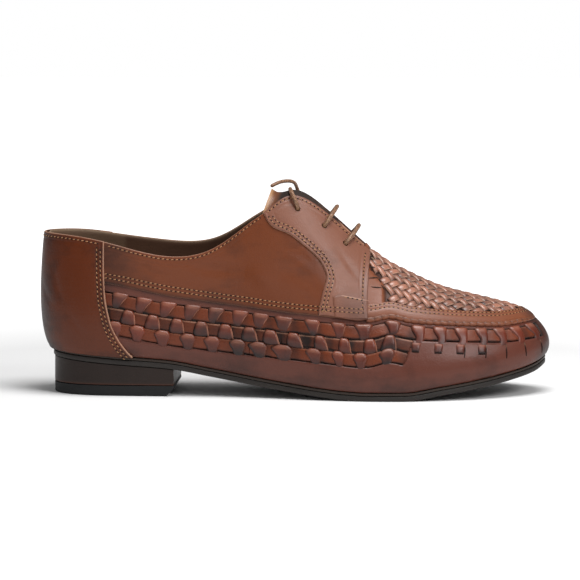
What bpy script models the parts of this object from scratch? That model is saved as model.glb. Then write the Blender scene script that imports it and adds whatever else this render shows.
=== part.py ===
"""Open-laced shoe with woven leather sides and a woven plug, for the right foot, standing empty.

Metres, +Z up. The toe points along +X, the outer side of the foot is at -Y, and the origin lies
on the floor under the middle of the shoe. Every piece of the upper follows one surface, the last,
whose sections stand in the table SECTIONS.
"""

import math
from collections import namedtuple

import bmesh
import bpy
import numpy as np
from mathutils import Matrix, Vector

# Driving dimensions
LENGTH = 0.300
BALL_WIDTH = 0.096
INSTEP_HEIGHT = 0.1175
HEEL_RISE = 0.0217
TOE_SPRING = 0.0169
WALL = 0.0016
LEATHER = 0.0009
FIT_GAP = 0.0003
PANEL_GAP = 0.0004
OUTSOLE_THICKNESS = 0.0030
RAND_THICKNESS = 0.0014
SOLE_MARGIN = 0.0006
INSOLE_THICKNESS = 0.0025
TOP_LIFT_THICKNESS = 0.0064
HEEL_LENGTH = 0.0725
BREAST_BEVEL = 0.0045
TONGUE_THICKNESS = 0.0016
TONGUE_TILT = 0.35
LACE_DIAMETER = 0.0022
LACE_STEP = 0.0062
EYELET_BORE = 0.0034
WEAVE_PITCH = 0.0143
WEAVE_RELIEF = 0.0011
RIDGE_DIAMETER = 0.0026
PLUG_PITCH = 0.0105

SOLE_TOP = OUTSOLE_THICKNESS + FIT_GAP + RAND_THICKNESS + FIT_GAP
QUARTER = (PANEL_GAP, PANEL_GAP + LEATHER)
FACING = (QUARTER[1] + PANEL_GAP, QUARTER[1] + PANEL_GAP + LEATHER)
RELIEF = (-WALL / 2, WEAVE_RELIEF)

# One row for each section of the last, from the back of the heel to the tip of the toe.
# along, edge_along: share of LENGTH. centre, half, swell, edge_centre, edge_half, lean: share of
# BALL_WIDTH. lift: share of HEEL_RISE. spring: share of TOE_SPRING. rise, edge_height, medial,
# drop: share of INSTEP_HEIGHT. The first five place the foot of the wall, swell and rise are its
# first handle, the edge columns place its top edge (medial is how much higher the inner side
# is), and lean and drop are the handle there.
Section = namedtuple(
    "Section",
    "along centre half lift spring swell rise edge_along edge_centre edge_half edge_height "
    "medial lean drop",
)
SECTIONS = [
    Section(.025, .000, .000, 1.000, .000, .080, .085, .014, .000, .000, .802, .000, .026, .204),
    Section(.038, .000, .141, .982, .000, .080, .085, .025, .000, .112, .800, .002, .031, .204),
    Section(.077, .000, .245, .935, .000, .078, .085, .068, .000, .200, .791, .007, .042, .204),
    Section(.150, .000, .295, .853, .000, .070, .094, .141, .000, .252, .757, .017, .058, .204),
    Section(.250, -.005, .303, .756, .000, .063, .102, .240, .000, .275, .698, .043, .066, .204),
    Section(.343, -.026, .294, .535, .000, .060, .111, .333, .000, .262, .721, .030, .086, .221),
    Section(.433, -.047, .320, .318, .000, .062, .119, .410, .000, .220, .850, .009, .128, .255),
    Section(.500, -.052, .363, .180, .000, .064, .119, .458, .000, .182, .938, .000, .172, .272),
    Section(.550, -.050, .405, .092, .000, .066, .119, .500, .000, .137, .984, .000, .204, .264),
    Section(.593, -.042, .437, .032, .000, .072, .123, .557, .000, .113, .897, .000, .236, .230),
    Section(.640, -.031, .466, .000, .000, .078, .128, .636, .000, .099, .716, .000, .258, .153),
    Section(.710, -.005, .490, .000, .000, .078, .136, .707, .005, .094, .600, .000, .281, .111),
    Section(.787, .021, .469, .000, .189, .078, .119, .773, .021, .094, .526, .000, .271, .077),
    Section(.860, .042, .406, .000, .391, .083, .102, .833, .036, .078, .485, .000, .240, .060),
    Section(.923, .057, .297, .000, .609, .089, .094, .877, .049, .052, .462, .000, .214, .044),
    Section(.967, .068, .172, .000, .817, .089, .085, .900, .056, .026, .450, .000, .198, .037),
    Section(.987, .073, .000, .000, 1.000, .089, .085, .907, .059, .000, .449, .000, .188, .034),
]
TOE = len(SECTIONS) - 1
THROAT = 10
RIDGE_START = 0.16
RIDGE_STEP = 0.49

# The lower edge of the quarter, and in front of the throat the apron's ridge: place is a section
# number, height a share of INSTEP_HEIGHT.
SeamPoint = namedtuple("SeamPoint", "place height")
QUARTER_EDGE = [
    SeamPoint(0.0, 0.610),
    SeamPoint(2.9, 0.560),
    SeamPoint(4.2, 0.500),
    SeamPoint(5.6, 0.458),
    SeamPoint(7.2, 0.428),
    SeamPoint(8.8, 0.410),
    SeamPoint(10.1, 0.393),
]
APRON_RIDGE = [
    SeamPoint(10.1, 0.415),
    SeamPoint(10.6, 0.408),
    SeamPoint(11.2, 0.386),
    SeamPoint(11.8, 0.375),
    SeamPoint(12.8, 0.363),
    SeamPoint(13.6, 0.358),
    SeamPoint(14.5, 0.364),
    SeamPoint(16.0, 0.375),
]

# The back edge of the facing, by levels of the wall.
EdgePoint = namedtuple("EdgePoint", "level place")
FACING_BACK = [
    EdgePoint(0.45, 8.72),
    EdgePoint(0.56, 8.97),
    EdgePoint(0.67, 9.16),
    EdgePoint(0.72, 8.95),
    EdgePoint(0.78, 8.05),
    EdgePoint(0.89, 7.00),
    EdgePoint(1.00, 6.60),
]

# The front edge of the counter, which flares at the foot.
COUNTER_FRONT = [
    EdgePoint(0.00, 3.40),
    EdgePoint(0.10, 3.27),
    EdgePoint(0.24, 3.11),
    EdgePoint(0.40, 2.98),
    EdgePoint(0.60, 2.89),
    EdgePoint(1.00, 2.87),
]

# The eyelets, in the upper's own places and levels, from the top down.
Eyelet = namedtuple("Eyelet", "name place level")
EYELETS = [
    Eyelet("top", 8.12, 0.926),
    Eyelet("middle", 8.98, 0.912),
    Eyelet("lower", 9.49, 0.904),
]

# How the lace lies. Forward is how far ahead of its eyelet it crosses the facing's edge, in
# places. Lifts are in lace diameters. The tucked end follows the tongue, across and back from
# the eyelet; the free end bends over to the tongue's top, its points at shares of that way.
BAR_FORWARD = 0.12
BAR_CREST = (1.0, 0.0, 1.4)
TuckPoint = namedtuple("TuckPoint", "across back lift")
TUCK_FORWARD = -0.30
TUCK = [TuckPoint(-0.24, 0.42, 2.4), TuckPoint(-0.08, 0.46, 1.5)]
BendPoint = namedtuple("BendPoint", "share lift")
END_FORWARD = -0.2
END_BEND = [BendPoint(0.35, (1.2, 0.0, 1.9)), BendPoint(0.72, (0.7, 0.0, 1.9))]
END_TIP = (-0.3, 0.0, 0.62)

# Rows of the side weave: drop is how far the row's middle lies under the seam, as a share of
# INSTEP_HEIGHT, first and last are the places it spans, phase is its shift in pitches.
WeaveRow = namedtuple("WeaveRow", "drop first last phase")
WEAVE_ROWS = [
    WeaveRow(0.062, 3.15, 15.3, 0.0),
    WeaveRow(0.145, 3.25, 11.2, 0.5),
    WeaveRow(0.215, 3.35, 11.0, 0.0),
]
TAB_NARROWING = 0.2
WIDEST_LEVEL = 0.4

# The woven plug: its strips run from ridge to ridge on the slant. The share of the way taken by
# the two walls, how far down them the strips reach, the places they span, and their slant and
# width in steps.
PLUG_WALL_SHARE = 0.6
PLUG_REACH = 0.72
PLUG_FIRST, PLUG_LAST = 10.35, 14.4
PLUG_SLANT = 0.75
PLUG_STRIP_WIDTH = 0.6
PLUG_COLUMNS = [1, 0.7, 0.35, 0, -0.35, -0.7, -1]

# Cross-sections of the tongue: crown is the rise of its middle, as a share of INSTEP_HEIGHT.
TongueRow = namedtuple("TongueRow", "place crown")
TONGUE_ROWS = [
    TongueRow(6.5, 0.128),
    TongueRow(7.0, 0.070),
    TongueRow(7.5, 0.042),
    TongueRow(8.0, 0.034),
    TongueRow(8.5, 0.034),
    TongueRow(9.0, 0.033),
    TongueRow(9.5, 0.020),
    TongueRow(10.0, -0.004),
    TongueRow(10.4, -0.008),
]


def clear_scene():
    for thing in list(bpy.data.objects):
        bpy.data.objects.remove(thing)


def smooth_between(points, at):
    """Monotone cubic through (x, y) points, held at both ends."""
    xs = [point[0] for point in points]
    ys = [point[1] for point in points]
    at = min(max(at, xs[0]), xs[-1])
    steps = [xs[i + 1] - xs[i] for i in range(len(xs) - 1)]
    slopes = [(ys[i + 1] - ys[i]) / steps[i] for i in range(len(steps))]
    tangents = [slopes[0]]
    for i in range(1, len(slopes)):
        same_way = slopes[i - 1] * slopes[i] > 0
        tangents.append(2 * slopes[i - 1] * slopes[i] / (slopes[i - 1] + slopes[i]) if same_way else 0.0)
    tangents.append(slopes[-1])
    i = 0
    while i < len(steps) - 1 and at > xs[i + 1]:
        i += 1
    t = (at - xs[i]) / steps[i]
    start = (1 + 2 * t) * (1 - t) ** 2 * ys[i] + t * (1 - t) ** 2 * steps[i] * tangents[i]
    end = t * t * (3 - 2 * t) * ys[i + 1] + t * t * (t - 1) * steps[i] * tangents[i + 1]
    return start + end


def ring_points():
    """The sections as one closed ring: the outer side from heel to toe, then the inner side back."""
    outer = [(row, -1) for row in SECTIONS]
    inner = [(row, 1) for row in reversed(SECTIONS[1:-1])]
    points = []
    for row, side in outer + inner:
        points.append([
            row.along * LENGTH,
            (row.centre + side * row.half) * BALL_WIDTH,
            row.swell * BALL_WIDTH,
            row.rise * INSTEP_HEIGHT,
            row.edge_along * LENGTH,
            (row.edge_centre + side * row.edge_half) * BALL_WIDTH,
            (row.edge_height + (row.medial if side > 0 else 0)) * INSTEP_HEIGHT,
            row.lean * BALL_WIDTH,
            row.drop * INSTEP_HEIGHT,
        ])
    return np.array(points)


def ring_tangents(points, steps):
    """Tangents that give the closed ring a continuous curvature."""
    count = len(points)
    matrix = np.zeros((count, count))
    right = np.zeros_like(points)
    for i in range(count):
        after = (i + 1) % count
        matrix[i, i - 1] += 1 / steps[i - 1]
        matrix[i, i] += 2 / steps[i - 1] + 2 / steps[i]
        matrix[i, after] += 1 / steps[i]
        right[i] += 3 * (points[i] - points[i - 1]) / steps[i - 1] ** 2
        right[i] += 3 * (points[after] - points[i]) / steps[i] ** 2
    return np.linalg.solve(matrix, right)


RING = ring_points()
RING_STEPS = np.linalg.norm(np.roll(RING[:, :2], -1, axis=0) - RING[:, :2], axis=1)
RING_TANGENTS = ring_tangents(RING, RING_STEPS)
BOTTOM_LINE = [
    (row.along * LENGTH, row.lift * HEEL_RISE + row.spring * TOE_SPRING) for row in SECTIONS
]


def sole_bottom(along):
    """Height of the sole's underside."""
    return smooth_between(BOTTOM_LINE, along)


def rails(place):
    """The four handles of the wall at a place; a negative place is on the inner side."""
    place = place % (2 * TOE)
    i = int(place)
    t = place - i
    j = (i + 1) % len(RING)
    step = RING_STEPS[i]
    start = (1 + 2 * t) * (1 - t) ** 2 * RING[i] + t * (1 - t) ** 2 * step * RING_TANGENTS[i]
    value = start + t * t * (3 - 2 * t) * RING[j] + t * t * (t - 1) * step * RING_TANGENTS[j]
    slope = (6 * t * t - 6 * t) * (RING[i] - RING[j]) / step
    slope += (3 * t * t - 4 * t + 1) * RING_TANGENTS[i] + (3 * t * t - 2 * t) * RING_TANGENTS[j]
    outward = Vector((slope[1], -slope[0], 0)).normalized()
    x, y, swell, rise, edge_x, edge_y, edge_z, lean, drop = value
    foot = Vector((x, y, sole_bottom(x) + SOLE_TOP))
    edge = Vector((edge_x, edge_y, edge_z))
    up = Vector((0, 0, 1))
    return foot, foot + outward * swell + up * rise, edge + outward * lean - up * drop, edge, outward


def wall(place, level):
    foot, low, high, edge, _ = rails(place)
    t = level
    return (1 - t) ** 3 * foot + 3 * t * (1 - t) ** 2 * low + 3 * t * t * (1 - t) * high + t ** 3 * edge


def skin(place, level, out=0.0):
    """A point of the last at a place along it and a level up its wall, moved out along its normal."""
    point = wall(place, level)
    if not out:
        return point
    near = 0.002
    low, high = max(level - near, 0), min(level + near, 1)
    along = wall(place + near, level) - wall(place - near, level)
    up = wall(place, high) - wall(place, low)
    return point + along.cross(up).normalized() * out


def level_at(place, height):
    """The level at which the wall reaches a height."""
    low, high = 0.0, 1.0
    for _ in range(24):
        middle = (low + high) / 2
        if wall(place, middle).z < height:
            low = middle
        else:
            high = middle
    return low


def seam_level(table, place):
    side = place % (2 * TOE)
    side = min(side, 2 * TOE - side)
    return level_at(place, smooth_between(table, side) * INSTEP_HEIGHT)


def crest(place, across, out=0.0):
    """The top of the vamp: across runs from -1 on the outer side to 1 on the inner side."""
    outer, inner = skin(place, 1.0, out), skin(-place, 1.0, out)
    _, _, high, edge, _ = rails(place)
    slope = (edge.z - high.z) / max((high.xy - edge.xy).length, 1e-6)
    crown = (inner - outer).length / 4 * slope
    return outer.lerp(inner, (across + 1) / 2) + Vector((0, 0, crown * (1 - across ** 2)))


def spread(first, last, step):
    """Evenly spaced values from first to last, about a step apart."""
    count = max(1, round(abs(last - first) / step))
    return [first + (last - first) * i / count for i in range(count + 1)]


def joined_spread(*stretches):
    values = []
    for first, last, step in stretches:
        values += spread(first, last, step)[bool(values):]
    return values


# The facets that every piece of the upper shares, so that two curved pieces stay as far apart
# between their corners as at them.
HEEL_STEP, SIDE_STEP, TOE_STEP = 0.375, 0.5, 0.43
SIDE_PLACES = joined_spread((0, 3, HEEL_STEP), (3, THROAT, SIDE_STEP), (THROAT, TOE, TOE_STEP))
RING_PLACES = SIDE_PLACES + [2 * TOE - place for place in reversed(SIDE_PLACES[:-1])]
LEVELS = [0, 0.1, 0.21, 0.33, 0.45, 0.56, 0.67, 0.78, 0.89, 1]
PANEL_FOOT = 0.05
STIFFENER_TOP = 0.6


def make_material(name, colour, roughness, metallic=0.0):
    material = bpy.data.materials.new(name)
    material.use_nodes = True
    shader = material.node_tree.nodes["Principled BSDF"]
    shader.inputs["Base Color"].default_value = (*colour, 1)
    shader.inputs["Roughness"].default_value = roughness
    shader.inputs["Metallic"].default_value = metallic
    return material


def put_in(collection, thing):
    for holder in list(thing.users_collection):
        holder.objects.unlink(thing)
    collection.objects.link(thing)


def hide(thing):
    thing.hide_render = True
    thing.display_type = "WIRE"
    return thing


def mesh_object(name, mesh, collection, material=None):
    thing = bpy.data.objects.new(name, mesh)
    collection.objects.link(thing)
    if material:
        mesh.materials.append(material)
    return thing


class Shell:
    """An open surface on the last that gets its thickness along the last's own normals."""

    def __init__(self):
        self.bm = bmesh.new()
        self.number = self.bm.verts.layers.int.new("spot")
        self.spots = []

    def add_grid(self, columns, rows, point):
        """A grid whose vertices stand at point(column, row, out)."""
        made = bmesh.ops.create_grid(
            self.bm, x_segments=len(columns) - 1, y_segments=len(rows) - 1, size=1
        )
        for i, vertex in enumerate(made["verts"]):
            column, row = columns[i % len(columns)], rows[i // len(columns)]
            vertex[self.number] = len(self.spots)
            self.spots.append((point, column, row))
            vertex.co = point(column, row, 0.0)

    def place(self, vertices, out):
        for vertex in vertices:
            point, column, row = self.spots[vertex[self.number]]
            vertex.co = point(column, row, out)

    def raised(self, name, inner, outer):
        """The mesh of the closed shell between two distances from the last."""
        merge(self.bm)
        faces = self.bm.faces[:]
        self.place(self.bm.verts, inner)
        made = bmesh.ops.extrude_face_region(self.bm, geom=faces, use_keep_orig=True)
        self.place([item for item in made["geom"] if isinstance(item, bmesh.types.BMVert)], outer)
        mesh = bpy.data.meshes.new(name)
        self.bm.to_mesh(mesh)
        self.bm.free()
        mesh.attributes.remove(mesh.attributes["spot"])
        return mesh


def mesh_from(bm, name):
    mesh = bpy.data.meshes.new(name)
    bm.to_mesh(mesh)
    bm.free()
    return mesh


def merge(bm, distance=0.00005):
    bmesh.ops.remove_doubles(bm, verts=bm.verts, dist=distance)
    bmesh.ops.dissolve_degenerate(bm, edges=bm.edges, dist=distance)


def boolean(thing, cutter, operation):
    step = thing.modifiers.new(cutter.name, "BOOLEAN")
    step.operation = operation
    step.solver = "EXACT"
    step.use_self = operation == "UNION"
    step.object = cutter
    return step


def make_panel(name, columns, rows, point, inner, outer, material):
    """A panel of leather between two distances from the last."""
    shell = Shell()
    shell.add_grid(columns, rows, point)
    return mesh_object(name, shell.raised(name, inner, outer), parts, material)


def flat_outline(name, points, half_depth):
    """A closed flat outline filled on both sides, as a mesh."""
    curve = bpy.data.curves.new(name, "CURVE")
    curve.dimensions = "2D"
    curve.fill_mode = "BOTH"
    curve.extrude = half_depth
    spline = curve.splines.new("POLY")
    spline.points.add(len(points) - 1)
    for point, (x, y) in zip(spline.points, points):
        point.co = (x, y, 0, 1)
    spline.use_cyclic_u = True
    return mesh_of_curve(curve, name)


def mesh_of_curve(curve, name):
    holder = bpy.data.objects.new(name, curve)
    bpy.context.scene.collection.objects.link(holder)
    bpy.context.view_layer.update()
    seen = holder.evaluated_get(bpy.context.evaluated_depsgraph_get())
    mesh = bpy.data.meshes.new_from_object(seen)
    mesh.name = name
    bpy.data.objects.remove(holder)
    bm = bmesh.new()
    bm.from_mesh(mesh)
    bmesh.ops.remove_doubles(bm, verts=bm.verts, dist=1e-6)
    bmesh.ops.recalc_face_normals(bm, faces=bm.faces)
    bm.to_mesh(mesh)
    bm.free()
    return mesh


def sole_outline(margin):
    """The last's outline on the ground, moved out by a margin."""
    outline = []
    for place in RING_PLACES[:-1]:
        foot, _, _, _, outward = rails(place)
        point = foot + outward * margin
        outline.append((point.x, point.y))
    return outline


def slab(name, margin, low, high, material, end=LENGTH):
    """The sole's outline cut between two lines over its length, low(x) and high(x)."""
    middle = INSTEP_HEIGHT / 2
    mesh = flat_outline(name, sole_outline(margin), INSTEP_HEIGHT)
    mesh.transform(Matrix.Translation((0, 0, middle)))
    thing = mesh_object(name, mesh, parts, material)
    alongs = [0] + [rails(place)[0].x for place in SIDE_PLACES]
    alongs = [x for x in alongs if x < end] + [end]
    side = [(x, high(x)) for x in alongs] + [(x, low(x)) for x in reversed(alongs)]
    return cut_to_side(thing, name + "_side", side)


def cut_to_side(thing, name, side):
    """Keeps what lies inside an outline drawn in the XZ plane."""
    mesh = flat_outline(name, side, BALL_WIDTH)
    mesh.transform(Matrix.Rotation(math.radians(90), 4, "X"))
    boolean(thing, hide(mesh_object(name, mesh, cutters)), "INTERSECT")
    return thing


def smooth_path(route, step):
    """Points about a step apart on a smooth curve through a route."""
    points = [Vector(point) for point in route]
    path = [points[0]]
    for i in range(len(points) - 1):
        before = points[max(i - 1, 0)]
        start, end = points[i], points[i + 1]
        after = points[min(i + 2, len(points) - 1)]
        count = max(1, round((end - start).length / step))
        for k in range(1, count + 1):
            t = k / count
            a = (end - before) / 2
            b = (after - start) / 2
            path.append(
                (1 + 2 * t) * (1 - t) ** 2 * start
                + t * (1 - t) ** 2 * a
                + t * t * (3 - 2 * t) * end
                + t * t * (t - 1) * b
            )
    return path


def tube_mesh(name, path, diameter, roundness=2):
    curve = bpy.data.curves.new(name, "CURVE")
    curve.dimensions = "3D"
    curve.bevel_depth = diameter / 2
    curve.bevel_resolution = roundness
    curve.use_fill_caps = True
    spline = curve.splines.new("POLY")
    spline.points.add(len(path) - 1)
    for point, co in zip(spline.points, path):
        point.co = (*co, 1)
    return mesh_of_curve(curve, name)


def make_sole(rubber, welt):
    slab("outsole", SOLE_MARGIN, sole_bottom, lambda x: sole_bottom(x) + OUTSOLE_THICKNESS, rubber)
    rand_low = OUTSOLE_THICKNESS + FIT_GAP
    slab(
        "rand",
        SOLE_MARGIN,
        lambda x: sole_bottom(x) + rand_low,
        lambda x: sole_bottom(x) + rand_low + RAND_THICKNESS,
        welt,
    )


def make_insole(material):
    insole_low = SOLE_TOP
    slab(
        "insole",
        -(WALL + FIT_GAP),
        lambda x: sole_bottom(x) + insole_low,
        lambda x: sole_bottom(x) + insole_low + INSOLE_THICKNESS,
        material,
    )


def make_heel(stack, lift):
    breast = SECTIONS[0].along * LENGTH + HEEL_LENGTH
    slab(
        "heel_stack",
        0,
        lambda x: TOP_LIFT_THICKNESS,
        lambda x: sole_bottom(x) - FIT_GAP,
        stack,
        end=breast,
    )
    top = TOP_LIFT_THICKNESS - FIT_GAP
    thing = mesh_object("top_lift", flat_outline("top_lift", sole_outline(0), INSTEP_HEIGHT), parts, lift)
    side = [(0, 0), (breast - BREAST_BEVEL, 0), (breast, BREAST_BEVEL), (breast, top), (0, top)]
    cut_to_side(thing, "top_lift_side", side)


def make_weave(collection):
    """Raised tabs of the side weave, as blocks that reach into the wall."""
    half_height = WEAVE_ROWS[0].drop * INSTEP_HEIGHT / 2
    walk = 0.02
    shell = Shell()
    for side in (1, -1):
        for row in WEAVE_ROWS:
            place = row.first
            travelled = WEAVE_PITCH * (1 - row.phase)
            while place < row.last:
                here = wall(side * place, WIDEST_LEVEL)
                place += walk
                travelled += (wall(side * place, WIDEST_LEVEL) - here).length
                if travelled >= WEAVE_PITCH:
                    travelled -= WEAVE_PITCH
                    add_tab(shell, side, place, row.drop * INSTEP_HEIGHT, half_height)
    return hide(mesh_object("weave_tabs", shell.raised("weave_tabs", *RELIEF), collection))


def add_tab(shell, side, place, drop, half_height):
    """One tab, wider at its top, two thirds of a pitch long."""
    table = QUARTER_EDGE if place < THROAT else APRON_RIDGE
    middle = smooth_between(table, place) * INSTEP_HEIGHT - drop
    near = 0.05
    width = (wall(place + near, WIDEST_LEVEL) - wall(place - near, WIDEST_LEVEL)).length / (2 * near)
    half = WEAVE_PITCH / 3 / width

    def corner(column, row, out):
        at = side * (place + column * half * (1 - TAB_NARROWING + TAB_NARROWING * row))
        return skin(at, level_at(at, middle + row * half_height), out)

    shell.add_grid([-1, 1][::side], [-1, 1], corner)


def make_ridge(collection):
    """The hand-sewn ridge round the plug."""
    places = spread(THROAT + RIDGE_START, 2 * TOE - THROAT - RIDGE_START, RIDGE_STEP)
    path = [skin(place, seam_level(APRON_RIDGE, place)) for place in places]
    return hide(mesh_object("apron_ridge", tube_mesh("apron_ridge", path, RIDGE_DIAMETER, 1), collection))


def plug_point(along, across, out):
    """A point of the woven plug: along is a place, across runs from ridge to ridge."""
    side = -1 if across < 0 else 1
    crest_share = 1 - PLUG_WALL_SHARE
    if abs(across) < crest_share:
        return crest(along, across / crest_share, out)
    down = (abs(across) - crest_share) / PLUG_WALL_SHARE
    place = -side * along
    return skin(place, 1 + (seam_level(APRON_RIDGE, place) - 1) * down * PLUG_REACH, out)


def make_plug_weave(collection):
    """Raised strips of the plug, laid across it on the slant."""
    shell = Shell()
    reach = (SECTIONS[int(PLUG_LAST)].along - SECTIONS[THROAT].along) * LENGTH
    count = int(reach / PLUG_PITCH)
    step = (PLUG_LAST - PLUG_FIRST) / count
    for i in range(count):
        start = PLUG_FIRST + i * step

        def strip(column, row, out, start=start):
            place = start + (row * PLUG_STRIP_WIDTH + column * PLUG_SLANT) * step
            return plug_point(min(max(place, PLUG_FIRST), TOE), column, out)

        shell.add_grid(PLUG_COLUMNS, [0, 1], strip)
    return hide(mesh_object("plug_strips", shell.raised("plug_strips", *RELIEF), collection))


def eyelet_cutters(collection):
    """Pins through the facing, the quarter and the wall at each eyelet."""
    bm = bmesh.new()
    reach = 4 * (FACING[1] + WALL)
    for eyelet in EYELETS:
        for side in (1, -1):
            at = skin(side * eyelet.place, eyelet.level)
            axis = skin(side * eyelet.place, eyelet.level, 1.0) - at
            turn = axis.to_track_quat("Z", "Y").to_matrix().to_4x4()
            bmesh.ops.create_cone(
                bm,
                cap_ends=True,
                segments=10,
                radius1=EYELET_BORE / 2,
                radius2=EYELET_BORE / 2,
                depth=reach,
                matrix=Matrix.Translation(at) @ turn,
            )
    return hide(mesh_object("eyelet_pins", mesh_from(bm, "eyelet_pins"), collection))


def make_upper(leather):
    shell = Shell()
    shell.add_grid(RING_PLACES, LEVELS, skin)
    vamp_places = [place for place in SIDE_PLACES if place >= THROAT]
    shell.add_grid([1, 0.5, 0, -0.5, -1], vamp_places, lambda across, place, out: crest(place, across, out))
    thing = mesh_object("upper", shell.raised("upper", -WALL, 0), parts, leather)
    boolean(thing, make_weave(cutters), "UNION")
    boolean(thing, make_ridge(cutters), "UNION")
    boolean(thing, make_plug_weave(cutters), "UNION")
    return thing


def make_counter(leather):
    """The piece round the back, thickened by its stiffener where no quarter lies under it."""
    edge = [(point.level, point.place) for point in COUNTER_FRONT]
    places = [place for place in SIDE_PLACES if place <= COUNTER_FRONT[0].place + SIDE_STEP]

    def point(place, level, out):
        level = max(level, PANEL_FOOT)
        reach = smooth_between(edge, level)
        if level < STIFFENER_TOP and out == FACING[0]:
            out = PANEL_GAP
        return skin(min(max(place, -reach), reach), level, out)

    places = [-place for place in places[:0:-1]] + places
    make_panel("counter", places, LEVELS, point, *FACING, leather)


def make_quarter(name, side, leather):
    """The smooth side panel, from under the counter to the throat."""
    places = [place for place in SIDE_PLACES if 0 < place <= THROAT]

    def point(place, level, out):
        return skin(side * place, max(level, seam_level(QUARTER_EDGE, side * place)), out)

    return make_panel(name, places[::side], LEVELS, point, *QUARTER, leather)


def make_facing(name, side, leather):
    """The stiff panel that carries the eyelets, over the front of the quarter."""
    back = [(point.level, point.place) for point in FACING_BACK]
    first = FACING_BACK[-1].place
    places = [place for place in SIDE_PLACES if first - SIDE_STEP < place <= THROAT]

    def point(place, level, out):
        near = max(place, smooth_between(back, level))
        level = max(level, seam_level(QUARTER_EDGE, side * near))
        return skin(side * max(place, smooth_between(back, level)), level, out)

    return make_panel(name, places[::side], LEVELS, point, *FACING, leather)


def tongue_point(across, place, out):
    """Across runs from -1 to 1; outside the middle half the tongue lies along the wall's inside."""
    inside = out - (WALL + 2 * FIT_GAP)
    tuck = 1 - LEVELS[-3]
    side = 1 if across < 0 else -1
    if abs(across) >= 0.5:
        return skin(side * place, 1 - (abs(across) - 0.5) * 2 * tuck, inside)
    outer, inner = skin(place, 1, inside), skin(-place, 1, inside)
    crown = smooth_between(TONGUE_ROWS, place) * INSTEP_HEIGHT * (1 - (across / 0.5) ** 2)
    forward = TONGUE_TILT * max(crown, 0)
    return outer.lerp(inner, across + 0.5) + Vector((forward, 0, crown))


def make_tongue(leather):
    acrosses = [1, 0.75, 0.5, 0.25, 0, -0.25, -0.5, -0.75, -1]
    places = [row.place for row in TONGUE_ROWS]
    make_panel("tongue", acrosses, places, tongue_point, -TONGUE_THICKNESS, 0, leather)


def lace_at_eyelet(eyelet, side):
    """Where the lace's middle lies over an eyelet."""
    return skin(side * eyelet.place, eyelet.level, FACING[1] + FIT_GAP + LACE_DIAMETER / 2)


def lace_over_edge(eyelet, side, forward):
    """Where the lace's middle passes over the facing's front edge."""
    return skin(side * (eyelet.place + forward), 1.0, FACING[1] + FIT_GAP + LACE_DIAMETER)


def lace_piece(name, route, cord):
    path = smooth_path(route, LACE_STEP)
    mesh_object(name, tube_mesh(name, path, LACE_DIAMETER), parts, cord)


def make_lace_bar(eyelet, cord):
    """A bar of lace from one eyelet over the throat to the other."""
    outer, inner = lace_over_edge(eyelet, 1, BAR_FORWARD), lace_over_edge(eyelet, -1, BAR_FORWARD)
    top = outer.lerp(inner, 0.5) + Vector(BAR_CREST) * LACE_DIAMETER
    route = [lace_at_eyelet(eyelet, 1), outer, top, inner, lace_at_eyelet(eyelet, -1)]
    lace_piece("lace_bar_" + eyelet.name, route, cord)


def make_lace_ends(cord):
    """The tucked end on the outer side, and the free end that bends back to the tongue's top."""
    eyelet = EYELETS[0]
    lie = LACE_DIAMETER / 2 + FIT_GAP
    tucked = [lace_at_eyelet(eyelet, 1), lace_over_edge(eyelet, 1, TUCK_FORWARD)]
    tucked += [tongue_point(point.across, eyelet.place - point.back, point.lift * lie) for point in TUCK]
    lace_piece("lace_tuck", tucked, cord)
    over = lace_over_edge(eyelet, -1, END_FORWARD)
    tip = tongue_point(0, TONGUE_ROWS[0].place, 0)
    free = [lace_at_eyelet(eyelet, -1), over]
    free += [over.lerp(tip, bend.share) + Vector(bend.lift) * LACE_DIAMETER for bend in END_BEND]
    free.append(tip + Vector(END_TIP) * LACE_DIAMETER)
    lace_piece("lace_end", free, cord)


def stand_on_origin():
    """Moves every piece so that the origin lies under the middle of the shoe's box."""
    bpy.context.view_layer.update()
    seen = bpy.context.evaluated_depsgraph_get()
    corners = []
    for piece in parts.objects:
        if piece.name != "lace_end":
            corners += [vertex.co.copy() for vertex in piece.evaluated_get(seen).data.vertices]
    low = [min(corner[i] for corner in corners) for i in range(2)]
    high = [max(corner[i] for corner in corners) for i in range(2)]
    shoe = bpy.data.objects.new("shoe", None)
    shoe.location = (-(low[0] + high[0]) / 2, -(low[1] + high[1]) / 2, 0)
    for piece in list(parts.objects) + list(cutters.objects):
        piece.parent = shoe
    parts.objects.link(shoe)


clear_scene()
parts = bpy.data.collections.new("woven_shoe")
cutters = bpy.data.collections.new("cutters")
bpy.context.scene.collection.children.link(parts)
bpy.context.scene.collection.children.link(cutters)

brown = make_material("brown_leather", (0.16, 0.045, 0.014), 0.42)
woven = make_material("woven_leather", (0.14, 0.055, 0.032), 0.42)
rosy = make_material("facing_leather", (0.27, 0.13, 0.09), 0.4)
burnished = make_material("counter_leather", (0.11, 0.03, 0.012), 0.38)
sole_black = make_material("outsole_rubber", (0.03, 0.022, 0.018), 0.55)
rand_brown = make_material("rand_leather", (0.035, 0.024, 0.018), 0.5)
stack_brown = make_material("heel_leather", (0.035, 0.02, 0.012), 0.45)
lift_black = make_material("top_lift_rubber", (0.02, 0.02, 0.022), 0.6)
lining = make_material("lining_leather", (0.05, 0.035, 0.022), 0.7)
cord_brown = make_material("lace_cord", (0.1, 0.05, 0.03), 0.6)

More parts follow.
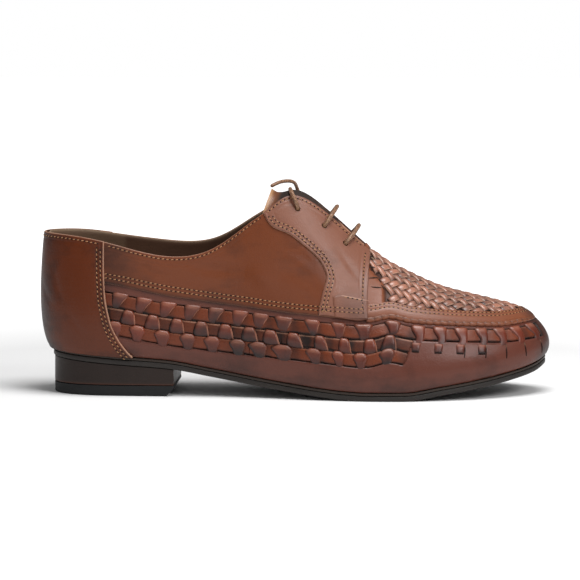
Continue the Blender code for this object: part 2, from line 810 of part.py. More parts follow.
make_sole(sole_black, rand_brown)
make_heel(stack_brown, lift_black)
make_insole(lining)
upper = make_upper(woven)
make_counter(burnished)
pins = eyelet_cutters(cutters)
laced = [upper]
for side_name, side_sign in (("outer", 1), ("inner", -1)):
    laced.append(make_quarter("quarter_" + side_name, side_sign, brown))
    laced.append(make_facing("facing_" + side_name, side_sign, rosy))
for piece in laced:
    boolean(piece, pins, "DIFFERENCE")
make_tongue(lining)
for laced_eyelet in EYELETS[1:]:
    make_lace_bar(laced_eyelet, cord_brown)
make_lace_ends(cord_brown)
stand_on_origin()
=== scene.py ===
"""Looks of the open-laced woven leather shoe, right foot, seen from its outer side."""

import math
from collections import namedtuple

import bmesh
import bpy
import numpy as np
from mathutils import Matrix, Vector
from mathutils.bvhtree import BVHTree


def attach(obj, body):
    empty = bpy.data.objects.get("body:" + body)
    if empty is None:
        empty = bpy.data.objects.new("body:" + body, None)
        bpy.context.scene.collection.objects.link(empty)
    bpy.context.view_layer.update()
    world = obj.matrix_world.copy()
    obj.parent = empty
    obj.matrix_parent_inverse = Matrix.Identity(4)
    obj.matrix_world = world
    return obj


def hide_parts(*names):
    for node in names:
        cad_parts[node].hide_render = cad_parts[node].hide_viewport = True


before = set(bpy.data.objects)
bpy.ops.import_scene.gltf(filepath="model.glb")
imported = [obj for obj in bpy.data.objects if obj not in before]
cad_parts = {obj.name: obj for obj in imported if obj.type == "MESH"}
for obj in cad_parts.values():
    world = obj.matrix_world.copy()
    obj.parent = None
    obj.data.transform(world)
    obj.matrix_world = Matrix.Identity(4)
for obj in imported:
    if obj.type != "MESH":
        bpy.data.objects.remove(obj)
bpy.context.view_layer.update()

# Camera
# A long lens at the outer side of the shoe, a little above it and a little towards the toe.
PICTURE_WIDTH = 580
PIXELS_PER_METRE = 1700
SENSOR_WIDTH = 36.0
CAMERA_DISTANCE = 1.9
CAMERA_AZIMUTH = math.radians(2.5)
CAMERA_ELEVATION = math.radians(5.5)
CAMERA_TARGET = Vector((-0.0026, 0.0005, 0.0597))

camera_data = bpy.data.cameras.new("camera")
camera_data.sensor_width = SENSOR_WIDTH
camera_data.lens = PIXELS_PER_METRE * CAMERA_DISTANCE / PICTURE_WIDTH * SENSOR_WIDTH
camera = bpy.data.objects.new("camera", camera_data)
camera_back = Vector((
    math.sin(CAMERA_AZIMUTH) * math.cos(CAMERA_ELEVATION),
    -math.cos(CAMERA_AZIMUTH) * math.cos(CAMERA_ELEVATION),
    math.sin(CAMERA_ELEVATION),
))
camera.location = CAMERA_TARGET + camera_back * CAMERA_DISTANCE
camera.rotation_mode = "QUATERNION"
camera.rotation_quaternion = camera_back.to_track_quat("Z", "Y")
bpy.context.scene.collection.objects.link(camera)
bpy.context.scene.camera = camera
bpy.context.scene.view_settings.view_transform = "Standard"

# Lace
# One thin round waxed cord, braided, drawn through the three eyelets of each facing. Two bars
# cross the throat, one end is tucked in beside the tongue and the other bends back over it.
# The eyelets lie on the last, the form that the whole upper is pulled over, so it stands here.
LENGTH = 0.300
BALL_WIDTH = 0.096
INSTEP_HEIGHT = 0.1175
HEEL_RISE = 0.0217
TOE_SPRING = 0.0169
SOLE_TOP = 0.0050
SOLE_MARGIN = 0.0006
WALL = 0.0016
FIT_GAP = 0.0003
QUARTER_OUT = 0.0013
FACING_OUT = 0.0026
LACE_DIAMETER = 0.0022
TONGUE_TILT = 0.35
Section = namedtuple(
    "Section",
    "along centre half lift spring swell rise edge_along edge_centre edge_half edge_height "
    "medial lean drop",
)
SECTIONS = [
    Section(.025, .000, .000, 1.000, .000, .080, .085, .014, .000, .000, .802, .000, .026, .204),
    Section(.038, .000, .141, .982, .000, .080, .085, .025, .000, .112, .800, .002, .031, .204),
    Section(.077, .000, .245, .935, .000, .078, .085, .068, .000, .200, .791, .007, .042, .204),
    Section(.150, .000, .295, .853, .000, .070, .094, .141, .000, .252, .757, .017, .058, .204),
    Section(.250, -.005, .303, .756, .000, .063, .102, .240, .000, .275, .698, .043, .066, .204),
    Section(.343, -.026, .294, .535, .000, .060, .111, .333, .000, .262, .721, .030, .086, .221),
    Section(.433, -.047, .320, .318, .000, .062, .119, .410, .000, .220, .850, .009, .128, .255),
    Section(.500, -.052, .363, .180, .000, .064, .119, .458, .000, .182, .938, .000, .172, .272),
    Section(.550, -.050, .405, .092, .000, .066, .119, .500, .000, .137, .984, .000, .204, .264),
    Section(.593, -.042, .437, .032, .000, .072, .123, .557, .000, .113, .897, .000, .236, .230),
    Section(.640, -.031, .466, .000, .000, .078, .128, .636, .000, .099, .716, .000, .258, .153),
    Section(.710, -.005, .490, .000, .000, .078, .136, .707, .005, .094, .600, .000, .281, .111),
    Section(.787, .021, .469, .000, .189, .078, .119, .773, .021, .094, .526, .000, .271, .077),
    Section(.860, .042, .406, .000, .391, .083, .102, .833, .036, .078, .485, .000, .240, .060),
    Section(.923, .057, .297, .000, .609, .089, .094, .877, .049, .052, .462, .000, .214, .044),
    Section(.967, .068, .172, .000, .817, .089, .085, .900, .056, .026, .450, .000, .198, .037),
    Section(.987, .073, .000, .000, 1.000, .089, .085, .907, .059, .000, .449, .000, .188, .034),
]
TOE = len(SECTIONS) - 1
RING_LENGTH = 2 * TOE
THROAT = 10
TONGUE_CROWN = [
    (6.5, .128), (7.0, .070), (7.5, .042), (8.0, .034), (8.5, .034), (9.0, .033), (9.5, .020),
    (10.0, -.004), (10.4, -.008),
]
EYELETS = [(8.12, .926), (8.98, .912), (9.49, .904)]

heel_back = min((vertex.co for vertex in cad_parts["outsole"].data.vertices), key=lambda co: co.x)
START = (heel_back.x + SOLE_MARGIN - SECTIONS[0].along * LENGTH, heel_back.y)


def between(points, at):
    """Monotone cubic through (x, y) points, held at both ends."""
    xs, ys = np.array(points, float)[:, :2].T
    at = np.clip(np.asarray(at, float), xs[0], xs[-1])
    steps = np.diff(xs)
    slopes = np.diff(ys) / steps
    product = slopes[:-1] * slopes[1:]
    same_way = product > 0
    total = np.where(same_way, slopes[:-1] + slopes[1:], 1)
    tangents = np.concatenate([slopes[:1], np.where(same_way, 2 * product / total, 0), slopes[-1:]])
    i = np.clip(np.searchsorted(xs, at) - 1, 0, len(steps) - 1)
    t = (at - xs[i]) / steps[i]
    start = (1 + 2 * t) * (1 - t) ** 2 * ys[i] + t * (1 - t) ** 2 * steps[i] * tangents[i]
    return start + t * t * (3 - 2 * t) * ys[i + 1] + t * t * (t - 1) * steps[i] * tangents[i + 1]


def ring_points():
    """The sections as one closed ring: the outer side from heel to toe, then the inner side back."""
    points = []
    for row, side in [(row, -1) for row in SECTIONS] + [(row, 1) for row in SECTIONS[-2:0:-1]]:
        points.append([
            row.along * LENGTH + START[0],
            (row.centre + side * row.half) * BALL_WIDTH + START[1],
            row.swell * BALL_WIDTH,
            row.rise * INSTEP_HEIGHT,
            row.edge_along * LENGTH + START[0],
            (row.edge_centre + side * row.edge_half) * BALL_WIDTH + START[1],
            (row.edge_height + (row.medial if side > 0 else 0)) * INSTEP_HEIGHT,
            row.lean * BALL_WIDTH,
            row.drop * INSTEP_HEIGHT,
        ])
    return np.array(points)


def ring_tangents(points, steps):
    """Tangents that give the closed ring a continuous curvature."""
    count = len(points)
    matrix = np.zeros((count, count))
    right = np.zeros_like(points)
    for i in range(count):
        after = (i + 1) % count
        matrix[i, i - 1] += 1 / steps[i - 1]
        matrix[i, i] += 2 / steps[i - 1] + 2 / steps[i]
        matrix[i, after] += 1 / steps[i]
        right[i] += 3 * (points[i] - points[i - 1]) / steps[i - 1] ** 2
        right[i] += 3 * (points[after] - points[i]) / steps[i] ** 2
    return np.linalg.solve(matrix, right)


RING = ring_points()
RING_STEPS = np.linalg.norm(np.roll(RING[:, :2], -1, axis=0) - RING[:, :2], axis=1)
RING_TANGENTS = ring_tangents(RING, RING_STEPS)
BOTTOM_LINE = [
    (row.along * LENGTH + START[0], row.lift * HEEL_RISE + row.spring * TOE_SPRING) for row in SECTIONS
]


def sole_bottom(x):
    return between(BOTTOM_LINE, x)


def unit(vectors):
    return vectors / np.maximum(np.linalg.norm(vectors, axis=-1, keepdims=True), 1e-12)


def rails(place):
    """The four handles of the wall at a place, and the way out of the foot; negative places are inner."""
    place = np.mod(np.asarray(place, float), RING_LENGTH)
    i = np.minimum(place.astype(int), RING_LENGTH - 1)
    j = (i + 1) % RING_LENGTH
    t = (place - i)[..., None]
    step = RING_STEPS[i][..., None]
    start, end = RING[i], RING[j]
    leave, arrive = RING_TANGENTS[i], RING_TANGENTS[j]
    value = (1 + 2 * t) * (1 - t) ** 2 * start + t * (1 - t) ** 2 * step * leave
    value = value + t * t * (3 - 2 * t) * end + t * t * (t - 1) * step * arrive
    slope = (6 * t * t - 6 * t) * (start - end) / step
    slope = slope + (3 * t * t - 4 * t + 1) * leave + (3 * t * t - 2 * t) * arrive
    zero = np.zeros_like(slope[..., 0])
    outward = unit(np.stack([slope[..., 1], -slope[..., 0], zero], -1))
    x, y, swell, rise, edge_x, edge_y, edge_z, lean, drop = np.moveaxis(value, -1, 0)
    up = np.array((0.0, 0.0, 1.0))
    foot = np.stack([x, y, sole_bottom(x) + SOLE_TOP], -1)
    edge = np.stack([edge_x, edge_y, edge_z], -1)
    low = foot + outward * swell[..., None] + up * rise[..., None]
    high = edge + outward * lean[..., None] - up * drop[..., None]
    return foot, low, high, edge, outward


def wall(place, level):
    place, level = np.broadcast_arrays(np.asarray(place, float), np.asarray(level, float))
    foot, low, high, edge, _ = rails(place)
    t = level[..., None]
    return (1 - t) ** 3 * foot + 3 * t * (1 - t) ** 2 * low + 3 * t * t * (1 - t) * high + t ** 3 * edge


def wall_normal(place, level):
    near = 0.002
    along = wall(place + near, level) - wall(place - near, level)
    up = wall(place, np.minimum(level + near, 1)) - wall(place, np.maximum(level - near, 0))
    return unit(np.cross(along, up))


def skin(place, level, out=0.0):
    """Points of the last at a place along it and a level up its wall, moved out along its normal."""
    place, level = np.broadcast_arrays(np.asarray(place, float), np.asarray(level, float))
    out = np.broadcast_to(np.asarray(out, float), place.shape)
    return wall(place, level) + wall_normal(place, level) * out[..., None]


def tongue_skin(across, place, out):
    """Across runs from -1 to 1; outside the middle half the tongue lies along the wall's inside."""
    across, place = np.broadcast_arrays(np.asarray(across, float), np.asarray(place, float))
    inside = out - (WALL + 2 * FIT_GAP)
    tuck = 0.22
    side = np.where(across < 0, 1, -1)
    level = 1 - np.maximum(np.abs(across) - 0.5, 0) * 2 * tuck
    flank = skin(side * place, level, inside)
    outer, inner = skin(place, 1.0, inside), skin(-place, 1.0, inside)
    share = np.clip(across + 0.5, 0, 1)[..., None]
    crown = between(TONGUE_CROWN, place) * INSTEP_HEIGHT * (1 - (np.clip(across, -.5, .5) / 0.5) ** 2)
    lifted = np.stack([TONGUE_TILT * np.maximum(crown, 0), np.zeros_like(crown), crown], -1)
    middle = outer + (inner - outer) * share + lifted
    return np.where((np.abs(across) >= 0.5)[..., None], flank, middle)


def travelled(points):
    """How far along a line each of its points lies."""
    return np.concatenate([[0], np.cumsum(np.linalg.norm(np.diff(points, axis=0), axis=1))])


def smooth_path(route, step):
    """Points about a step apart on a smooth curve through a route."""
    points = [np.array(point, float) for point in route]
    path = [points[0]]
    for i in range(len(points) - 1):
        start, end = points[i], points[i + 1]
        leave = (end - points[max(i - 1, 0)]) / 2
        arrive = (points[min(i + 2, len(points) - 1)] - start) / 2
        count = max(1, round(float(np.linalg.norm(end - start)) / step))
        for k in range(1, count + 1):
            t = k / count
            point = (1 + 2 * t) * (1 - t) ** 2 * start + t * (1 - t) ** 2 * leave
            path.append(point + t * t * (3 - 2 * t) * end + t * t * (t - 1) * arrive)
    return np.array(path)


def sheet_mesh(name, outer, inner=None, marks=None):
    """A mesh on a grid of points, rows first; with inner points it is a closed shell. Marks are
    numbers kept on the points for the materials."""
    marks = marks or {}
    row_count, column_count = outer.shape[:2]
    bm = bmesh.new()
    spot = bm.verts.layers.int.new("spot")
    layers = {key: bm.verts.layers.float.new(key) for key in marks}
    verts = bmesh.ops.create_grid(
        bm, x_segments=column_count - 1, y_segments=row_count - 1, size=1
    )["verts"]
    places = outer.reshape(-1, 3)
    flat_marks = {key: np.broadcast_to(value, outer.shape[:2]).reshape(-1) for key, value in marks.items()}
    for k, vertex in enumerate(verts):
        vertex[spot] = k
        vertex.co = places[k]
        for key, layer in layers.items():
            vertex[layer] = flat_marks[key][k]
    if inner is not None:
        made = bmesh.ops.extrude_face_region(bm, geom=bm.faces[:], use_keep_orig=True)
        backs = inner.reshape(-1, 3)
        for vertex in verts:
            vertex.co = backs[vertex[spot]]
        for item in made["geom"]:
            if isinstance(item, bmesh.types.BMVert):
                item.co = places[item[spot]]
    bmesh.ops.remove_doubles(bm, verts=bm.verts, dist=0.000002)
    bm.verts.layers.int.remove(bm.verts.layers.int["spot"])
    mesh = bpy.data.meshes.new(name)
    bm.to_mesh(mesh)
    bm.free()
    mesh.shade_smooth()
    return mesh


def mend(mesh, weld=0.0):
    """Joins points closer than a distance and turns all faces outwards."""
    bm = bmesh.new()
    bm.from_mesh(mesh)
    if weld:
        bmesh.ops.remove_doubles(bm, verts=bm.verts, dist=weld)
    bmesh.ops.recalc_face_normals(bm, faces=bm.faces)
    bm.to_mesh(mesh)
    bm.free()
    mesh.shade_smooth()
    return mesh


def add_piece(mesh, material, replaced=()):
    """Puts a finished mesh in the scene as a piece of the shoe."""
    piece = bpy.data.objects.new(mesh.name, mesh)
    bpy.context.scene.collection.objects.link(piece)
    mesh.materials.append(material)
    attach(piece, "root")
    if replaced:
        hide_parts(*replaced)
    return piece


def link_new(tree, kind, inputs=None, **settings):
    """A shader node with its settings, its inputs linked to sockets or set to values."""
    node = tree.nodes.new(kind)
    for key, value in settings.items():
        setattr(node, key, value)
    for key, value in (inputs or {}).items():
        if isinstance(value, bpy.types.NodeSocket):
            tree.links.new(value, node.inputs[key])
        else:
            node.inputs[key].default_value = value
    return node


def mix_colours(tree, factor, first, second):
    """A colour mix; each argument is a socket or a value."""
    node = tree.nodes.new("ShaderNodeMix")
    node.data_type = "RGBA"
    for index, value in ((0, factor), (6, first), (7, second)):
        if isinstance(value, bpy.types.NodeSocket):
            tree.links.new(value, node.inputs[index])
        else:
            node.inputs[index].default_value = value
    return node.outputs[2]


def from_hex(code):
    """A colour written as in a picture editor, in Blender's linear values."""
    parts = [int(code[i:i + 2], 16) / 255 for i in (0, 2, 4)]
    linear = [part / 12.92 if part <= 0.04045 else ((part + 0.055) / 1.055) ** 2.4 for part in parts]
    return (*linear, 1.0)


def plain_material(name):
    material = bpy.data.materials.new(name)
    material.use_nodes = True
    return material, material.node_tree, material.node_tree.nodes["Principled BSDF"]


def lace_material():
    """Waxed braid: brown, with painted tan highlights where the strands turn up."""
    material, tree, shader = plain_material("waxed_braid")
    strand_highlight = link_new(tree, "ShaderNodeAttribute", attribute_name="strand_highlight").outputs["Fac"]
    place = tree.nodes.new("ShaderNodeTexCoord").outputs["Object"]
    noise = link_new(tree, "ShaderNodeTexNoise", {"Vector": place, "Scale": 260.0, "Detail": 3.0})
    base = mix_colours(tree, noise.outputs["Fac"], from_hex("49301f"), from_hex("805a40"))
    # The tan mixed in here is a painted highlight on the strand crests.
    colour = mix_colours(tree, strand_highlight, base, from_hex("b08865"))
    tree.links.new(colour, shader.inputs["Base Color"])
    bump = link_new(
        tree, "ShaderNodeBump", {"Height": noise.outputs["Fac"], "Strength": 0.3, "Distance": 0.0002}
    )
    tree.links.new(bump.outputs["Normal"], shader.inputs["Normal"])
    shader.inputs["Roughness"].default_value = 0.5
    return material


def cord_mesh(name, path, diameter):
    """A braided tube along a path, its strands raised a little, with round ends."""
    around, twist, strands = 12, 900.0, 3
    strand_rise, highlight_from, highlight_gain, highlight_share = 0.06, 0.75, 3, 0.75
    tangents = unit(np.gradient(path, axis=0))
    side = unit(np.cross(tangents, np.broadcast_to((0.12, 0.25, 1.0), path.shape)))
    over = np.cross(side, tangents)
    run = travelled(path)
    angle = np.linspace(0, 2 * math.pi, around + 1)
    braid = np.maximum(*(np.cos(strands * angle + way * twist * run[:, None]) for way in (1, -1)))
    from_end = np.minimum(run, run[-1] - run) / (diameter / 2)
    round_end = np.sqrt(1 - (1 - np.clip(from_end, 0.02, 1)) ** 2)
    radius = diameter / 2 * (1 - strand_rise + strand_rise * braid) * round_end[:, None]
    rings = path[:, None] + radius[..., None] * (
        np.cos(angle)[:, None] * side[:, None] + np.sin(angle)[:, None] * over[:, None]
    )
    ends = [np.broadcast_to(point, rings[:1].shape) for point in (path[0], path[-1])]
    points = np.concatenate([ends[0], rings, ends[1]])
    # Painted highlight: the raised crests of the strands are marked for a pale tan.
    crest_highlight = np.clip((braid - highlight_from) * highlight_gain, 0, 1) * highlight_share
    crest_highlight = np.concatenate([crest_highlight[:1], crest_highlight, crest_highlight[-1:]])
    return mend(sheet_mesh(name, points, marks={"strand_highlight": crest_highlight}))


def lace_over_eyelet(eyelet, side, depth=0.0):
    place, level = EYELETS[eyelet]
    return skin(side * place, level, FACING_OUT + FIT_GAP + LACE_DIAMETER / 2 - depth)


def lace_over_edge(eyelet, side, forward):
    return skin(side * (EYELETS[eyelet][0] + forward), 1.0, FACING_OUT + FIT_GAP + LACE_DIAMETER)


braid_finish = lace_material()
LACE_STEP = 0.0005
LACE_SEEN = 0.0025
THROUGH = 0.0062
BAR_FORWARD, BAR_RISE = 0.12, 0.18
BAR_CREST = np.array((1, 0, 1.4)) * LACE_DIAMETER
TOP, MIDDLE, LOWER = 0, 1, 2


def out_of_eyelet(eyelet, side, edge, share):
    """The start of a route: through the eyelet from behind, then towards the facing's edge."""
    seat = lace_over_eyelet(eyelet, side)
    behind = [lace_over_eyelet(eyelet, side, depth) for depth in (THROUGH, THROUGH / 3)]
    return behind + [seat + (edge - seat) * share, edge]


for eyelet, word in ((MIDDLE, "middle"), (LOWER, "lower")):
    near_edge, far_edge = (lace_over_edge(eyelet, side, BAR_FORWARD) for side in (1, -1))
    near_half = out_of_eyelet(eyelet, 1, near_edge, BAR_RISE)
    far_half = out_of_eyelet(eyelet, -1, far_edge, BAR_RISE)
    bar_path = smooth_path(near_half + [(near_edge + far_edge) / 2 + BAR_CREST] + far_half[::-1], LACE_STEP)
    bar_mesh = cord_mesh("lace_cord_" + word, bar_path, LACE_SEEN)
    add_piece(bar_mesh, braid_finish, ["lace_bar_" + word])

TUCK_FORWARD, TUCK_RISE = -0.3, 0.2
TUCK = ((-0.24, 0.42, 2.4), (-0.08, 0.46, 1.5))
lie = LACE_DIAMETER / 2 + FIT_GAP
tuck_route = out_of_eyelet(TOP, 1, lace_over_edge(TOP, 1, TUCK_FORWARD), TUCK_RISE)
tuck_route += [tongue_skin(across, EYELETS[TOP][0] - back, lies * lie) for across, back, lies in TUCK]
tuck_mesh = cord_mesh("lace_cord_tucked", smooth_path(tuck_route, LACE_STEP), LACE_SEEN)
add_piece(tuck_mesh, braid_finish, ["lace_tuck"])

END_FORWARD = -0.2
END_BEND = ((0.35, (1.2, 0, 1.9)), (0.72, (0.7, 0, 1.9)))
END_TIP = (-0.3, 0, 0.62)
end_over = lace_over_edge(TOP, -1, END_FORWARD)
end_tip = tongue_skin(0.0, TONGUE_CROWN[0][0], 0.0)
end_route = [lace_over_eyelet(TOP, -1), end_over]
for share, rise in END_BEND:
    end_route.append(end_over + (end_tip - end_over) * share + np.array(rise) * LACE_DIAMETER)
end_route.append(end_tip + np.array(END_TIP) * LACE_DIAMETER)
end_path = smooth_path(end_route, LACE_STEP)
end_mesh = cord_mesh("lace_cord_end", end_path, LACE_DIAMETER)
lace_end = add_piece(end_mesh, braid_finish, ["lace_end"])

# Leather finish
# Calf leather, dyed and burnished by hand: darker where it was rubbed with wax, paler and pink on
# its cut edges, with a fine grain. The two marks on a piece say where. The dark mark also holds
# painted shade in recesses, gaps, openings and under edges; the pale mark also holds painted
# highlights on the tab tops.
def maths(tree, operation, *values, clamp=False):
    """A sum or product of sockets and numbers."""
    node = link_new(tree, "ShaderNodeMath", dict(enumerate(values)), operation=operation, use_clamp=clamp)
    return node.outputs[0]


def leather_group():
    group = bpy.data.node_groups.new("leather_finish", "ShaderNodeTree")
    for name, way, kind in (
        ("Colour", "INPUT", "Color"), ("Dark Colour", "INPUT", "Color"), ("Raw Colour", "INPUT", "Color"),
        ("Mottle", "INPUT", "Float"), ("Grain", "INPUT", "Float"), ("Roughness", "INPUT", "Float"),
        ("Colour", "OUTPUT", "Color"), ("Roughness", "OUTPUT", "Float"), ("Normal", "OUTPUT", "Vector"),
    ):
        group.interface.new_socket(name, in_out=way, socket_type="NodeSocket" + kind)
    given = group.nodes.new("NodeGroupInput").outputs
    place = group.nodes.new("ShaderNodeTexCoord").outputs["Object"]

    def noise(vector, scale, detail, roughness=0.5):
        values = {"Vector": vector, "Scale": scale, "Detail": detail, "Roughness": roughness}
        return link_new(group, "ShaderNodeTexNoise", values).outputs["Fac"]

    # The dark mark holds burnishing and painted shade; the pale mark holds cut edges, tints and painted highlights.
    dark = link_new(group, "ShaderNodeAttribute", attribute_name="dark").outputs["Fac"]
    tint_and_highlight = link_new(group, "ShaderNodeAttribute", attribute_name="tint_and_highlight").outputs["Fac"]
    cloud, pores = noise(place, 42.0, 5.0, 0.6), noise(place, 900.0, 3.0, 0.6)
    cells = link_new(group, "ShaderNodeTexVoronoi", {"Vector": place, "Scale": 1300.0}).outputs["Distance"]
    stretched = link_new(group, "ShaderNodeMapping", {"Vector": place, "Scale": (60.0, 60.0, 340.0)})
    streaks = noise(stretched.outputs["Vector"], 1.0, 3.0)
    mottled = maths(group, "MULTIPLY", maths(group, "ADD", cloud, -0.5), given["Mottle"])
    streaked = link_new(group, "ShaderNodeMapRange", {"Value": streaks, "To Min": -0.2, "To Max": 0.2})
    shaded = maths(group, "ADD", maths(group, "ADD", dark, mottled), streaked.outputs["Result"], clamp=True)
    dyed = mix_colours(group, shaded, given["Colour"], given["Dark Colour"])
    rough = maths(group, "MULTIPLY_ADD", pores, 0.22, given["Roughness"])
    height = maths(group, "MULTIPLY_ADD", cells, 0.35, pores)
    height = maths(group, "MULTIPLY_ADD", streaks, 0.8, height)
    relief = {"Height": height, "Strength": given["Grain"], "Distance": 0.00025}
    bump = link_new(group, "ShaderNodeBump", relief)
    result = group.nodes.new("NodeGroupOutput").inputs
    group.links.new(mix_colours(group, tint_and_highlight, dyed, given["Raw Colour"]), result["Colour"])
    group.links.new(maths(group, "MULTIPLY_ADD", dark, 0.3, rough, clamp=True), result["Roughness"])
    group.links.new(bump.outputs["Normal"], result["Normal"])
    return group


leather_finish = leather_group()


def leather(name, colour, dark, tint_and_highlight, mottle=1.0, grain=0.35, rough=0.26, sheen=0.25, shine=0.32):
    """A leather: colour, dark and raw are its three tones, sheen its wax and shine its own gloss."""
    material, tree, shader = plain_material(name)
    group = tree.nodes.new("ShaderNodeGroup")
    group.node_tree = leather_finish
    # The third tone is the pale one: cut edges, and painted highlights on the tab tops.
    values = (from_hex(colour), from_hex(dark), from_hex(tint_and_highlight), mottle, grain, rough)
    for socket, value in zip(group.inputs, values):
        socket.default_value = value
    for word, target in (("Colour", "Base Color"), ("Roughness", "Roughness"), ("Normal", "Normal")):
        tree.links.new(group.outputs[word], shader.inputs[target])
    shader.inputs["Coat Weight"].default_value = sheen * 0.5
    shader.inputs["Coat Roughness"].default_value = 0.28
    shader.inputs["Specular IOR Level"].default_value = shine
    return material


# Woven sides
# The vamp is one wall of leather from the counter round the toe to the counter again. Its middle
# is slit into tabs, with leather strips drawn through them in three rows; at the toe one row goes
# on. Below the rows the leather is smooth down to the sole, with small lasting wrinkles.
MM = 0.001
COUNTER_PLACE = 2.7
SEAM = [
    (0.0, .610), (2.9, .560), (4.2, .500), (5.6, .458), (7.2, .428), (8.8, .410), (10.1, .393),
    (10.6, .408), (11.2, .386), (11.8, .375), (12.8, .363), (13.6, .358), (14.5, .364), (16.0, .375),
]
WEAVE_PITCH = 0.0143
TOE_PITCH = 0.0129
WEAVE_END = 11.1
TOE_WEAVE_END = 15.35


def folded(place):
    """The place counted from the heel on either side."""
    place = np.mod(place, RING_LENGTH)
    return np.minimum(place, RING_LENGTH - place)


def level_at(place, height):
    low = np.zeros(np.shape(place))
    high = np.ones(np.shape(place))
    for _ in range(24):
        middle = (low + high) / 2
        under = wall(place, middle)[..., 2] < height
        low, high = np.where(under, middle, low), np.where(under, high, middle)
    return low


def seam_level(place):
    return level_at(place, between(SEAM, folded(place)) * INSTEP_HEIGHT)


# The wall's levels at each distance below the seam, or above it where the distance is negative.
TABLE_PLACES = np.linspace(0, RING_LENGTH, 961)
TABLE_DEPTHS = np.arange(-60, 60.5, 0.5) * MM
fine_levels = np.linspace(0, 1, 101)
heights_up = wall(TABLE_PLACES[:, None], fine_levels[None])
heights_up = np.linalg.norm(np.diff(heights_up, axis=1), axis=2)
heights_up = np.concatenate([np.zeros((len(TABLE_PLACES), 1)), np.cumsum(heights_up, axis=1)], axis=1)
table_seam = seam_level(TABLE_PLACES)
LEVEL_TABLE = np.array([
    np.interp(np.interp(base, fine_levels, up) - TABLE_DEPTHS, up, fine_levels)
    for base, up in zip(table_seam, heights_up)
])
SEAM_RISE = np.gradient(between(SEAM, folded(TABLE_PLACES)) * INSTEP_HEIGHT)
SIDE_WIDTH = np.linalg.norm(
    wall(TABLE_PLACES + 0.02, 0.45) - wall(TABLE_PLACES - 0.02, 0.45), axis=1
) / 0.04


def table_value(table, row, column):
    """A value between four neighbours of a table."""
    i, j = np.minimum(row.astype(int), table.shape[0] - 2), column.astype(int)
    s, t = row - i, column - j
    near = table[i, j] * (1 - s) + table[i + 1, j] * s
    far = table[i, j + 1] * (1 - s) + table[i + 1, j + 1] * s
    return near * (1 - t) + far * t


def depth_level(place, depth):
    """The level at a distance below the seam, measured down the wall."""
    place, depth = np.broadcast_arrays(np.asarray(place, float), np.asarray(depth, float))
    column = np.mod(place, RING_LENGTH) / RING_LENGTH * (len(TABLE_PLACES) - 1)
    row = (depth - TABLE_DEPTHS[0]) / (TABLE_DEPTHS[1] - TABLE_DEPTHS[0])
    row = np.clip(row, 0, len(TABLE_DEPTHS) - 1.001)
    return table_value(LEVEL_TABLE, column, row)


def side_width(place):
    """Metres along the wall for each unit of place."""
    return np.interp(np.mod(place, RING_LENGTH), TABLE_PLACES, SIDE_WIDTH)


def side_skin(place, depth, out):
    return skin(place, depth_level(place, depth), out)


def wall_below_seam(place):
    """How far down the wall reaches under the seam."""
    place = np.mod(place, RING_LENGTH)
    total = [np.interp(base, fine_levels, up) for base, up in zip(table_seam, heights_up)]
    return np.interp(place, TABLE_PLACES, total)


def smooth_step(low, high, value):
    t = np.clip((value - low) / (high - low), 0, 1)
    return t * t * (3 - 2 * t)


def seeded_noise(seed, count):
    return np.random.default_rng(seed).random(count)


AFT_DROP = 1.6 * MM


def weave_drop(place):
    """The rows sit a little lower under the seam towards the counter."""
    return AFT_DROP * (1 - smooth_step(3.2, 5.6, folded(place)))


SIDE_COUNT = 760
PIT_TOP, PIT_FOOT, TOE_PIT_FOOT = 3.2 * MM, 28.3 * MM, 12.1 * MM
SIDE_OUT, PIT_DEPTH, WRINKLE, FOOT_FALL = 0.45 * MM, 1.35 * MM, 0.06 * MM, 0.5 * MM
side_places = np.linspace(COUNTER_PLACE, RING_LENGTH - COUNTER_PLACE, SIDE_COUNT)
near_seam = np.array([-3.0, -1.0, 0.0, 1.0, 2.0, 2.6, 3.0, 3.5])
near_pit_foot = np.array([27.8, 28.2, 28.6, 29.1, 29.8])
weave_depths = np.concatenate([near_seam, np.arange(4.2, 27.6, 1.2), near_pit_foot])[:, None] * MM
foot_shares = np.array([0.12, 0.25, 0.38, 0.5, 0.62, 0.74, 0.84, 0.92, 0.97, 1.0])[:, None]
reach = wall_below_seam(side_places)[None]
foot_depths = weave_depths[-1] + (reach - weave_depths[-1]) * foot_shares
side_depths = np.minimum(np.concatenate([np.repeat(weave_depths, SIDE_COUNT, axis=1), foot_depths]), reach)
side_field = np.broadcast_to(side_places, side_depths.shape)
from_heel = folded(side_field)
down_share = side_depths / reach
pit_depths = side_depths - weave_drop(side_field)
rows_end = smooth_step(WEAVE_END - 0.15, WEAVE_END + 0.15, from_heel)
pit_end = PIT_FOOT + (TOE_PIT_FOOT - PIT_FOOT) * rows_end
pit = smooth_step(PIT_TOP - 0.3 * MM, PIT_TOP + 0.4 * MM, pit_depths)
pit = pit * (1 - smooth_step(pit_end - 0.3 * MM, pit_end + 0.4 * MM, pit_depths))
pit = pit * (1 - smooth_step(TOE_WEAVE_END, TOE_WEAVE_END + 0.15, from_heel))
along_side = travelled(wall(side_places, 0.3))
wrinkle = np.sin(along_side / (2.1 * MM) + 3 * np.sin(along_side / (9 * MM)))
wrinkle = wrinkle * smooth_step(10.5, 12.5, from_heel)
side_out = SIDE_OUT - PIT_DEPTH * pit + WRINKLE * wrinkle * smooth_step(0.45, 1.0, down_share)
side_out = side_out - FOOT_FALL * smooth_step(0.93, 1.0, down_share)
